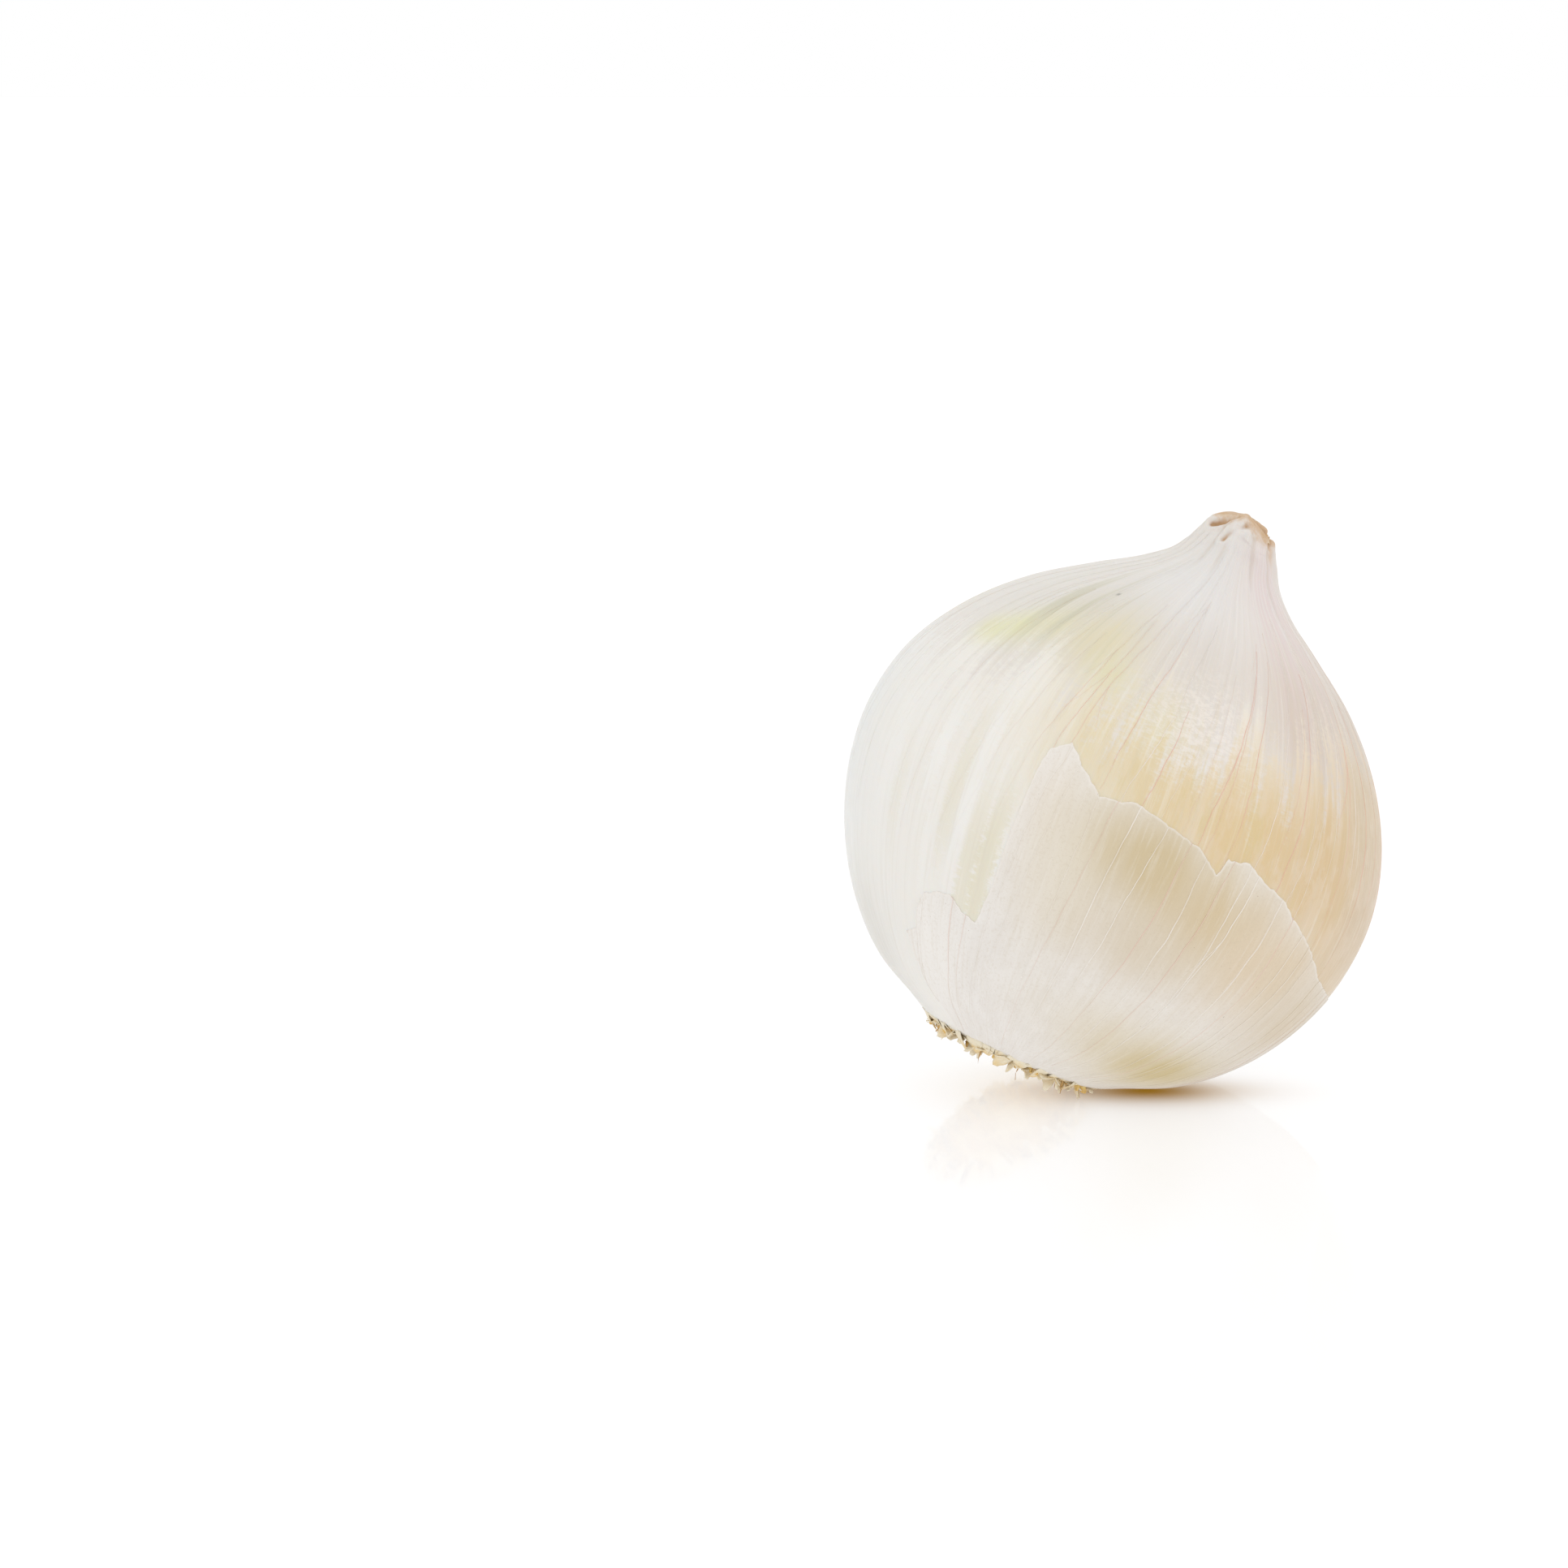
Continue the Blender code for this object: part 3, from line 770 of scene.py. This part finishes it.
def make_rootlets(name, finish, sizes):
    """Dry stubs of roots on the disc, splaying more toward its edge, each bent its own way."""
    growth = Growth(name, sizes)
    part = growth.node("GeometryNodeSplineParameter")
    line = growth.noted(growth.line(ROOT_POINTS, ROOT_ENDS), "along", part)
    stub = growth.tubes(line, ROOT_SIDES, growth["Slenderness"], 1 - part ** 2 * 0.55)
    which = growth.node("GeometryNodeInputIndex")
    angle = (which + growth.chance(which, 0, -0.5, 0.5)) * FULL_TURN * growth["Turns"] / growth["Count"]
    spot = growth.chance(which, 1) ** 0.7
    radius = growth["Inner radius"] + (growth["Outer radius"] - growth["Inner radius"]) * spot
    splay = spot * growth["Splay"] + growth.chance(which, 2, -0.3, 0.3)
    heading = angle + growth.chance(which, 3, -0.5, 0.5)
    stretch = growth.chance(which, 4, 0.35, 1.0) * growth["Length"]
    girth = growth.chance(which, 5, 0.75, 1.25) * growth["Length"]
    roots = planted(growth, stub, angle, radius, heading, splay, -1, girth.joined(girth, stretch))
    return growth.piece(growth.crumpled(roots, 700.0, growth["Bend"]), finish)


def make_shreds(name, finish, sizes):
    """Curled, ragged papery strips set round the axis."""
    growth = Growth(name, sizes)
    x, y, _ = growth.place().parts()
    along = y + 0.5
    bent = (x * (1 - along ** 2 * 0.75)).joined(along * along * growth["Curl"], along)
    strip = growth.moved(growth.noted(growth.sheet(*SHRED_POINTS), "along", along), bent)
    which = growth.node("GeometryNodeInputIndex")
    turned = (which + growth.chance(which, 0, -0.5, 0.5)) * growth["Sweep"] / growth["Count"]
    angle = growth["From"] + turned
    radius = growth["Radius"] + growth.chance(which, 1, -1.0, 1.0) * growth["Stray"]
    splay = growth["Splay"] + growth.chance(which, 2, -1.0, 1.0) * growth["Splay stray"]
    heading = angle + growth.chance(which, 3, -1.0, 1.0) * growth["Twist"]
    long = growth.chance(which, 4, 0.4, 1.0) * growth["Length"]
    wide = growth.chance(which, 5, 0.5, 1.0) * growth["Width"]
    size = wide.joined(long, long)
    strips = planted(growth, strip, angle, radius, heading, splay, growth["Up"], size, facing_out=True)
    made = growth.piece(growth.crumpled(strips, 380.0, growth["Crumple"]), finish)
    return thickened(made, name, SHRED_THICKNESS, 0)


def zoned(place, colour, zones, streaks):
    """The colour turned toward each zone's own, with streaks that break up the zone's edges."""
    for angle, height, width, rise, strength, tint in zones:
        mask = place.near(angle, height, width, rise) * strength * (0.45 + streaks * 1.1)
        colour = mask.at_most(1.0).pick(colour, tint)
    return colour


# Zones of colour: angle, height, width in degrees, rise in millimetres, strength and colour
FLESH_ZONES = [
    # (-80, 38): the cool pale band along the left outline is a painted rim light.
    (-80, 38, 17, 36, 0.9, (229, 230, 227)), (-66, 8, 17, 9, 1.0, (218, 215, 207)),
    (-9, 50, 13, 12, 1.0, (228, 216, 186)),
    (6, 46, 13, 10, 1.1, (223, 206, 168)), (26, 43, 18, 13, 1.1, (222, 198, 154)),
    # (74, 44): the darker brown along the right outline is painted edge shade.
    (52, 44, 18, 18, 1.1, (217, 190, 146)), (74, 44, 15, 26, 1.1, (207, 185, 156)),
    (70, 22, 16, 12, 1.0, (214, 190, 152)), (68, 54, 10, 8, 0.9, (207, 186, 153)),
    (115, 50, 26, 18, 1.0, (226, 210, 184)), (160, 54, 24, 12, 1.0, (224, 220, 194)),
    (190, 44, 26, 16, 1.0, (231, 222, 203)), (232, 52, 24, 14, 1.0, (229, 219, 194)),
]
VEIL_ZONES = [
    (-60, 66, 28, 12, 1.0, (222, 218, 211)), (-30, 66, 18, 8, 0.9, (214, 208, 195)),
    (2, 64, 20, 9, 1.0, (218, 210, 201)), (44, 64, 20, 12, 1.1, (212, 197, 184)),
    (74, 60, 20, 16, 1.1, (205, 190, 174)), (-14, 75, 36, 8, 1.0, (224, 221, 218)),
    (46, 79, 30, 8, 1.0, (225, 214, 211)), (130, 66, 40, 14, 1.0, (224, 217, 209)),
    (210, 66, 40, 14, 1.0, (227, 222, 214)),
]
SHOULDER_ZONES = [
    (-50, 56.5, 5, 2.6, 0.9, (224, 222, 178)), (-43, 58.5, 5, 3.0, 1.0, (223, 221, 180)),
    (-36, 60.5, 6, 3.2, 0.9, (221, 216, 182)),
    (-21, 61, 10, 5, 1.1, (221, 212, 182)), (-14, 57, 6, 3, 0.7, (222, 215, 176)),
    (1, 54, 7, 4, 0.45, (221, 212, 168)),
    (158, 60, 14, 4, 0.9, (222, 219, 186)), (262, 60, 14, 5, 0.9, (220, 218, 186)),
]
TIP_ZONES = [
    (52, 85.6, 26, 1.0, 1.0, (208, 178, 146)), (64, 83.2, 9, 1.8, 0.9, (212, 186, 160)),
    (24, 81.2, 13, 1.1, 0.45, (213, 200, 197)), (300, 85.4, 30, 0.7, 0.8, (212, 184, 150)),
]
OUTER_ZONES = [
    (-33, 12, 9, 9, 1.0, (239, 235, 229)), (-14, 38, 7, 10, 0.9, (234, 227, 218)),
    (8, 35, 16, 8, 1.1, (206, 188, 151)), (27, 31, 15, 8, 1.0, (209, 189, 151)),
    (10, 24, 20, 6, 0.8, (216, 203, 182)),
    (-6, 30, 8, 10, 0.6, (228, 219, 201)), (46, 28, 16, 8, 1.1, (220, 202, 175)),
    (68, 22, 18, 8, 1.0, (216, 202, 180)), (24, 11, 26, 5, 0.8, (226, 217, 201)),
    # (48, 8): the darker warm olive at the bottom, next to the floor, is painted contact shade.
    (48, 8, 24, 4.5, 1.0, (205, 186, 138)), (110, 28, 22, 9, 1.0, (214, 198, 172)),
    (150, 20, 20, 8, 0.8, (228, 218, 202)), (185, 32, 18, 9, 0.9, (216, 200, 176)),
    (215, 14, 24, 8, 0.8, (230, 223, 212)),
]
# Lengthwise stripes of the inner skin: angle, lowest and highest height, width in degrees, and strength
# The pale stripes on the left side are painted highlights.
HIGHLIGHT_STRIPES = [
    (-40.5, 30, 47, 1.7, 0.6), (-37.0, 18, 34, 1.4, 0.45), (-29.5, 24, 49, 1.6, 0.55),
    (-23.5, 33, 44, 0.8, 0.4), (-46.5, 34, 44, 1.4, 0.3), (-55.0, 26, 46, 2.6, 0.35),
]
OLIVE_STRIPES = [
    (-49.0, 22, 38, 1.6, 0.25), (-33.0, 24, 43, 1.7, 0.5), (-25.5, 12, 34, 1.9, 0.7),
    (-21.5, 12, 36, 1.9, 0.9),
]
# The one dark fleck: angle, height, width in degrees, and rise in millimetres
FLECK = (-32.0, 68.1, 0.5, 0.24)


def striped(place, colour, stripes, tint, lace):
    """Lengthwise stripes whose edges break up like lace."""
    for angle, low, high, width, strength in stripes:
        across = place.near(angle, (low + high) / 2, width * 1.5, high - low)
        ends = place.height.ease(low - 8, low + 8) * place.height.ease(high - 8, high + 8, 1.0, 0.0)
        mask = (across + (lace - 0.5) * 1.7).ease(0.3, 0.8) * ends * across.ease(0.05, 0.4)
        colour = (mask * strength).pick(colour, tint)
    return colour


def inner_colour(place):
    """Colour of the smooth inner skin: a pale veil that frays into olive and amber flesh lower down."""
    streaks = place.grain(9.0, 0.02)
    comb = place.grain(24.0, 0.02, 4.0, 0.7, 3.0)
    tongues = place.grain(8.0, 0.05, 3.0, 0.6, 5.0)
    fine = place.grain(60.0, 0.05, 4.0, 0.65)
    lace = place.grain(28.0, 1.9, 5.0, 0.68, 0.0, 0.5)
    broad = place.grain(2.2, 0.03, 2.0, 0.5, 9.0)
    flesh = broad.ease(0.35, 0.65).pick((236, 233, 227), (235, 231, 223))
    flesh = zoned(place, flesh, FLESH_ZONES, streaks)
    flesh = striped(place, flesh, OLIVE_STRIPES, (226, 220, 199), lace)
    # Pale stripes on the left: painted highlights.
    flesh = striped(place, flesh, HIGHLIGHT_STRIPES, (240, 239, 235), lace)
    veil = zoned(place, (227, 221, 214), VEIL_ZONES, streaks)
    veil_edge = place.near(-14, 55, 13, 30) * 6.0 + place.near(66, 50, 22, 40) * 12.0 + 53.0
    fray = (tongues - 0.5) * 34.0 + (comb - 0.5) * 34.0
    patchy = place.grain(13.0, 0.16, 5.0, 0.7, 8.0).ease(0.46, 0.6) * place.near(44, 44, 44, 18)
    flesh = (patchy * 0.35).pick(flesh, (228, 212, 192))
    blend = (place.height + fray - veil_edge).ease(-11.0, 10.0) + (lace - 0.5) * 1.3
    colour = blend.ease(0.15, 0.9).pick(flesh, veil)
    ochre = place.grain(24.0, 0.1, 5.0, 0.72, 11.0).ease(0.5, 0.62) * place.near(24, 47, 40, 11)
    colour = (ochre * 0.45).pick(colour, (216, 195, 142))
    colour = zoned(place, colour, SHOULDER_ZONES, comb * 1.6 - 0.4)
    # Dark green-grey lines along the neck's furrows are painted shade in the furrows.
    narrow = place.grain(34.0, 0.015, 3.0, 0.6, 4.0).ease(0.44, 0.3)
    wide = place.grain(13.0, 0.02, 3.0, 0.6, 1.0).ease(0.46, 0.34)
    furrow_shade = (narrow * 0.6 + wide * 0.8) * place.near(-36, 65, 26, 8)
    colour = (furrow_shade.at_most(1.0) * 0.85).pick(colour, (196, 192, 166))
    blush = place.grain(30.0, 0.008, 2.0, 0.5, 6.0).ease(0.48, 0.6) * place.near(44, 74, 20, 11)
    colour = (blush * 0.6).pick(colour, (219, 199, 197))
    # A pale lacy patch in front on the shoulder is a painted highlight.
    mottled_highlight = place.near(10, 56, 15, 6) * lace.ease(0.44, 0.6)
    colour = (mottled_highlight * 0.6).pick(colour, (240, 232, 223))
    colour = (fine.ease(0.5, 0.75) * 0.3).pick(colour, (241, 237, 231))
    colour = (fine.ease(0.5, 0.25) * 0.25).pick(colour, (213, 204, 188))
    return tip_colour(place, colour, streaks)


def tip_colour(place, colour, streaks):
    """The colour of the skin with the dry tan layers, slits and seam of the tip added, painted shade along
    the fold lines and in the slits, and one dark fleck.
    """
    patches = place.grain(3.0, 0.8, 4.0, 0.7, 2.0)
    colour = zoned(place, colour, TIP_ZONES, patches)
    dry = (place.height + (patches - 0.5) * 6.0).ease(83.6, 86.2)
    colour = (dry * 0.9).pick(colour, (206, 172, 132))
    seam = place.near(24, 82.7, 22, 0.22) * patches.ease(0.42, 0.55)
    colour = (seam * 0.6).pick(colour, (196, 180, 176))
    # Darker along the pressed fold lines: painted shade in the creases.
    colour = (place.kept("fold_lines").ease(0.3, 1.0) * 0.35).pick(colour, (203, 186, 168))
    # Tan in the slits: the dry tip's colour, darkened as painted shade in the creases.
    colour = place.kept("slits").ease(0.15, 0.8).pick(colour, (196, 158, 116))
    return place.near(*FLECK).pick(colour, (40, 38, 34))


def outer_colour(place):
    """Colour of the dry outer skin: off-white and tan, darker where the flesh shows through, and with painted
    shade at its bottom next to the floor.
    """
    streaks = place.grain(8.0, 0.02, 3.0, 0.55, 4.0)
    fine = place.grain(70.0, 0.1, 4.0, 0.7, 2.0)
    blotches = place.grain(11.0, 0.3, 4.0, 0.65, 6.0)
    grit = place.grain(90.0, 2.6, 2.0, 0.6, 5.0)
    colour = blotches.ease(0.35, 0.65).pick((230, 225, 219), (235, 231, 226))
    colour = zoned(place, colour, OUTER_ZONES, streaks)
    colour = (fine.ease(0.5, 0.72) * 0.25).pick(colour, (240, 235, 227))
    colour = (fine.ease(0.5, 0.28) * 0.2).pick(colour, (207, 192, 165))
    colour = (grit.ease(0.5, 0.3) * 0.15).pick(colour, (196, 178, 150))
    colour = (grit.ease(0.74, 0.78) * 0.5).pick(colour, (150, 116, 84))
    return (place.kept("rim").ease(0.45, 1.0) * 0.5).pick(colour, (241, 235, 227))


def inner_relief(place):
    """Fine lengthwise ridges with a faint lacy unevenness."""
    return place.grain(55.0, 0.04, 3.0, 0.6) + place.grain(30.0, 0.7, 3.0, 0.6) * 0.35


def outer_relief(place):
    """Lengthwise fibres over a fine leathery grain."""
    return place.grain(60.0, 0.06, 3.0, 0.65) * 0.6 + place.grain(80.0, 2.6, 2.0, 0.6) * 0.5


def vein_strength(place):
    """Veins show most over the amber flesh in front, less at the back, and a little everywhere."""
    front = place.near(12, 50, 34, 12) + place.near(56, 44, 28, 20) + place.near(44, 76, 20, 10) * 0.3
    back = place.near(150, 46, 50, 14) * 0.7 + place.near(230, 46, 30, 14) * 0.5
    return front + back + 0.12


def fibre_strength(place):
    return place.near(14, 30, 34, 20) * 0.6 + 0.3


# Looks of the skins: colour, relief, and gloss as the start of its grain and its lowest and highest roughness
INNER_LOOK = (inner_colour, inner_relief, (7.0, 0.34, 0.46))
OUTER_LOOK = (outer_colour, outer_relief, (8.0, 0.5, 0.62))
# Looks of the lines on them: strength, and two tints
VEIN_LOOK = (vein_strength, (233, 184, 168), (240, 230, 222))
FIBRE_LOOK = (fibre_strength, (245, 240, 233), (230, 198, 184))
# Dry finishes: the colour where a piece grows, the colour at its end, and the roughness
DRY_LOOKS = {
    "onion_root": ((244, 222, 150), (226, 188, 112), 0.75),
    "onion_root_twig": ((222, 186, 124), (186, 144, 88), 0.8),
    "onion_root_plate": ((240, 214, 150), (216, 178, 112), 0.85),
    "onion_shred": ((224, 198, 146), (244, 234, 210), 0.7),
    "onion_root_scale": ((236, 226, 202), (234, 208, 156), 0.7),
    "onion_tip_shred": ((222, 200, 168), (196, 156, 110), 0.7),
}


def new_material(name):
    """A material with one main shader, and that shader."""
    made = bpy.data.materials.new(name)
    made.use_nodes = True
    return made, made.node_tree.nodes["Principled BSDF"]


def bumped(height, depth):
    """The normal of a surface with relief of this height."""
    return height.node("ShaderNodeBump", None, {"Strength": 1.0, "Distance": depth, "Height": height})


def lined(place, colour, strength, first, second):
    """The colour turned toward one of two tints, as the tone that the line keeps says."""
    tint = place.kept("tone").ease(0.5, 0.65).pick(first, second)
    shown = place.grain(3.0, 0.05, 2.0, 0.5, 3.0).ease(0.3, 0.7, 0.35, 1.0) * strength(place)
    return shown.at_most(1.0).pick(colour, tint)


def skin_material(name, look, depth, scatter, lines=None):
    """A skin with a look, a depth of relief, and a share of light scattered in it, or lines on that skin."""
    made, shader = new_material(name)
    place = SkinPlace(made.node_tree)
    colour_of, relief_of, (shift, smoothest, roughest) = look
    colour = colour_of(place)
    if lines:
        colour = lined(place, colour, *lines)
    feed(shader, {
        "Base Color": colour,
        "Normal": bumped(relief_of(place), depth),
        "Roughness": place.grain(20.0, 0.5, 3.0, 0.6, shift).ease(0.3, 0.7, smoothest, roughest),
        "Subsurface Weight": scatter,
        "Subsurface Scale": 1.2 * MM,
        "Subsurface Radius": (1.0, 0.7, 0.45),
    })
    return made


def dry_material(name):
    """Dry root or papery shred: one colour where it grows and another at its end, with fine fibres."""
    made, shader = new_material(name)
    at_root, at_end, roughness = DRY_LOOKS[name]
    start = Wire(made.node_tree)
    along = start.node("ShaderNodeAttribute", {"attribute_name": "along"}, None, "Fac")
    where = start.node("ShaderNodeTexCoord", None, None, "Object")
    blotches = where.noise(420.0, 4.0, 0.65)
    fibres = where.noise(2400.0, 3.0, 0.6)
    mask = (along * 0.75 + (blotches - 0.5) * 1.5).ease(0.1, 0.75)
    colour = mask.pick(at_root, at_end)
    feed(shader, {
        "Base Color": (fibres.ease(0.5, 0.8) * 0.4).pick(colour, (240, 228, 200)),
        "Normal": bumped(fibres + blotches, 0.08 * MM),
        "Roughness": roughness,
    })
    return made


def make_floor():
    """A glossy white floor lit from below, with a warm shade where the onion shuts out the light."""
    bpy.ops.mesh.primitive_plane_add(size=8)
    floor = bpy.context.object
    floor.name = "floor"
    made, shader = new_material("floor")
    x, y, _ = Wire(made.node_tree).node("ShaderNodeTexCoord", None, None, "Object").parts()
    across = (x - SHADE_PLACE[0]) / SHADE_SIZE[0]
    deep = (y - SHADE_PLACE[1]) / SHADE_SIZE[1]
    shade = ((across * across + deep * deep) * -1).exponential()
    feed(shader, {
        "Emission Color": shade.pick((255, 255, 255), SHADE_TINT),
        "Emission Strength": FLOOR_GLOW,
        "Base Color": shade.pick(FLOOR_TINT, SHADE_TINT),
        "Roughness": 0.6,
        "Coat Weight": 0.6,
        "Coat Roughness": 0.05,
    })
    floor.data.materials.append(made)


def make_studio():
    """A white room, with one large soft light at the upper right in front of the onion."""
    world = bpy.data.worlds.new("studio")
    world.use_nodes = True
    feed(world.node_tree.nodes["Background"], {"Color": (1, 1, 1, 1), "Strength": 1.0})
    bpy.context.scene.world = world
    bpy.context.scene.view_settings.view_transform = "Standard"
    light = bpy.data.lights.new("softbox", "AREA")
    light.shape = "RECTANGLE"
    light.size, light.size_y = SOFTBOX_SIZE
    light.energy = SOFTBOX_POWER
    holder = new_object("softbox", light)
    holder.location = SOFTBOX_PLACE
    holder.rotation_euler = (SOFTBOX_AIM - SOFTBOX_PLACE).to_track_quat("-Z", "Y").to_euler()


def make_camera():
    camera = bpy.data.cameras.new("camera")
    camera.lens = CAMERA_LENS
    camera.sensor_width = 36
    camera.clip_start = 0.01
    holder = new_object("camera", camera)
    holder.location = CAMERA_PLACE
    holder.rotation_euler = (math.pi / 2 - CAMERA_PITCH, 0, 0)
    bpy.context.scene.camera = holder


# Sizes of the lines on the skins: veins, then fibres
LINE_SIZES = {
    "Count": (84, 72),
    "Steps": (110, 70),
    "Forks": (60, 16),
    "Top": (share_at(83), share_at(47)),
    "Bottom": (share_at(24), share_at(1.4)),
    "Bottom spread": (0.16, 0.02),
    "Top spread": (0.3, 0.0),
    "Drift": (radians(0.2), radians(0.12)),
    "Waver": (radians(4), radians(3)),
    "Thickness": (0.075 * MM, 0.13 * MM),
    "Outward": (0.0, 0.6 * MM),
    "Reach": (2.5 * MM, 0.95 * MM),
    "Fork length": (0.1, 0.06),
    "Fork spread": (radians(6), radians(3)),
    "Seed": (3, 11),
}
# Sizes of the roots: short stubs, then long twigs
ROOT_SIZES = {
    "Count": (170, 18),
    "Turns": (7.0, 1.0),
    "Inner radius": (3.0 * MM, 9.0 * MM),
    "Outer radius": (12.5 * MM, 12.0 * MM),
    "Height": (1.4 * MM, 1.6 * MM),
    "Length": (2.3 * MM, 3.8 * MM),
    "Slenderness": (0.24, 0.035),
    "Splay": (radians(24), radians(34)),
    "Bend": (1.1 * MM, 2.4 * MM),
    "Seed": (21, 26),
}
# Sizes of the strips: shreds round the root, scales outside them, and shreds at the tip of the neck
STRIP_SIZES = {
    "Count": (120, 110, 7),
    "Radius": (11.8 * MM, 14.0 * MM, 4.4 * MM),
    "Stray": (0.8 * MM, 0.25 * MM, 0.5 * MM),
    "Height": (1.2 * MM, 1.15 * MM, 84.4 * MM),
    "Up": (-1.0, -1.0, 1.0),
    "From": (0.0, 0.0, radians(15)),
    "Sweep": (FULL_TURN, FULL_TURN, radians(110)),
    "Twist": (1.2, 0.5, 0.3),
    "Splay": (radians(4), radians(-58), radians(-38)),
    "Splay stray": (radians(46), radians(26), radians(14)),
    "Length": (2.8 * MM, 4.0 * MM, 1.2 * MM),
    "Width": (2.6 * MM, 3.0 * MM, 1.8 * MM),
    "Curl": (0.5, -0.25, 0.25),
    "Crumple": (1.8 * MM, 0.8 * MM, 0.3 * MM),
    "Seed": (31, 35, 41),
}


def columns(table):
    """The sizes of each piece of a table, one piece after the other."""
    for values in zip(*table.values()):
        yield dict(zip(table, values))


def hold(piece, node=None):
    """The piece rides on the onion, and may stand for a solid, which is then hidden."""
    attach(piece, "root")
    if node:
        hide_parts(node)


def main():
    make_camera()
    make_studio()
    make_floor()

    inner = skin_material("onion_inner_skin", INNER_LOOK, 0.07 * MM, 0.2)
    outer = skin_material("onion_outer_skin", OUTER_LOOK, 0.06 * MM, 0.0)
    veined = skin_material("onion_vein", INNER_LOOK, 0.01 * MM, 0.0, VEIN_LOOK)
    fibrous = skin_material("onion_fibre", OUTER_LOOK, 0.01 * MM, 0.0, FIBRE_LOOK)
    rooty, twiggy, corky, papery, creamy, tan = (dry_material(name) for name in DRY_LOOKS)

    profile = profile_object()
    slits = line_object("slits", SLITS)
    fold_lines = line_object("fold_lines", FOLD_LINES)
    bulb = make_bulb(profile, slits, fold_lines, inner)
    skin, sheet_count = make_outer_skin(bulb, outer)
    vein_sizes, fibre_sizes = columns(LINE_SIZES)
    veins = make_veins("onion_veins", profile, bulb, veined, vein_sizes)
    fibres = make_veins("onion_fibres", profile, skin, fibrous, fibre_sizes)
    plate = make_root_plate(corky)
    stub_sizes, twig_sizes = columns(ROOT_SIZES)
    rootlets = make_rootlets("onion_rootlets", rooty, stub_sizes)
    twigs = make_rootlets("onion_root_twigs", twiggy, twig_sizes)
    shred_sizes, scale_sizes, neck_sizes = columns(STRIP_SIZES)
    shreds = make_shreds("onion_root_shreds", papery, shred_sizes)
    scales = make_shreds("onion_root_scales", creamy, scale_sizes)
    collar = make_shreds("onion_neck_shreds", tan, neck_sizes)
    for helper in (profile, slits, fold_lines):
        bpy.data.objects.remove(helper)

    lay_down(bulb, BULB_LOWEST)
    lay_down(skin, 0.0)
    for vert in skin.data.vertices[:sheet_count]:
        vert.co.z = max(vert.co.z, SKIN_INSIDE_LOWEST)
    for piece in (veins, plate):
        lay_down(piece, BULB_LOWEST)
    lay_down(fibres, 0.0)
    for piece in (rootlets, twigs, shreds, scales, collar):
        lay_down(piece, ROOTS_LOWEST)

    hold(bulb, "bulb")
    hold(skin, "outer_skin")
    hold(plate, "root_tuft")
    hold(veins)
    hold(fibres)
    hold(rootlets)
    hold(twigs)
    hold(shreds)
    hold(scales)
    hold(collar)


main()
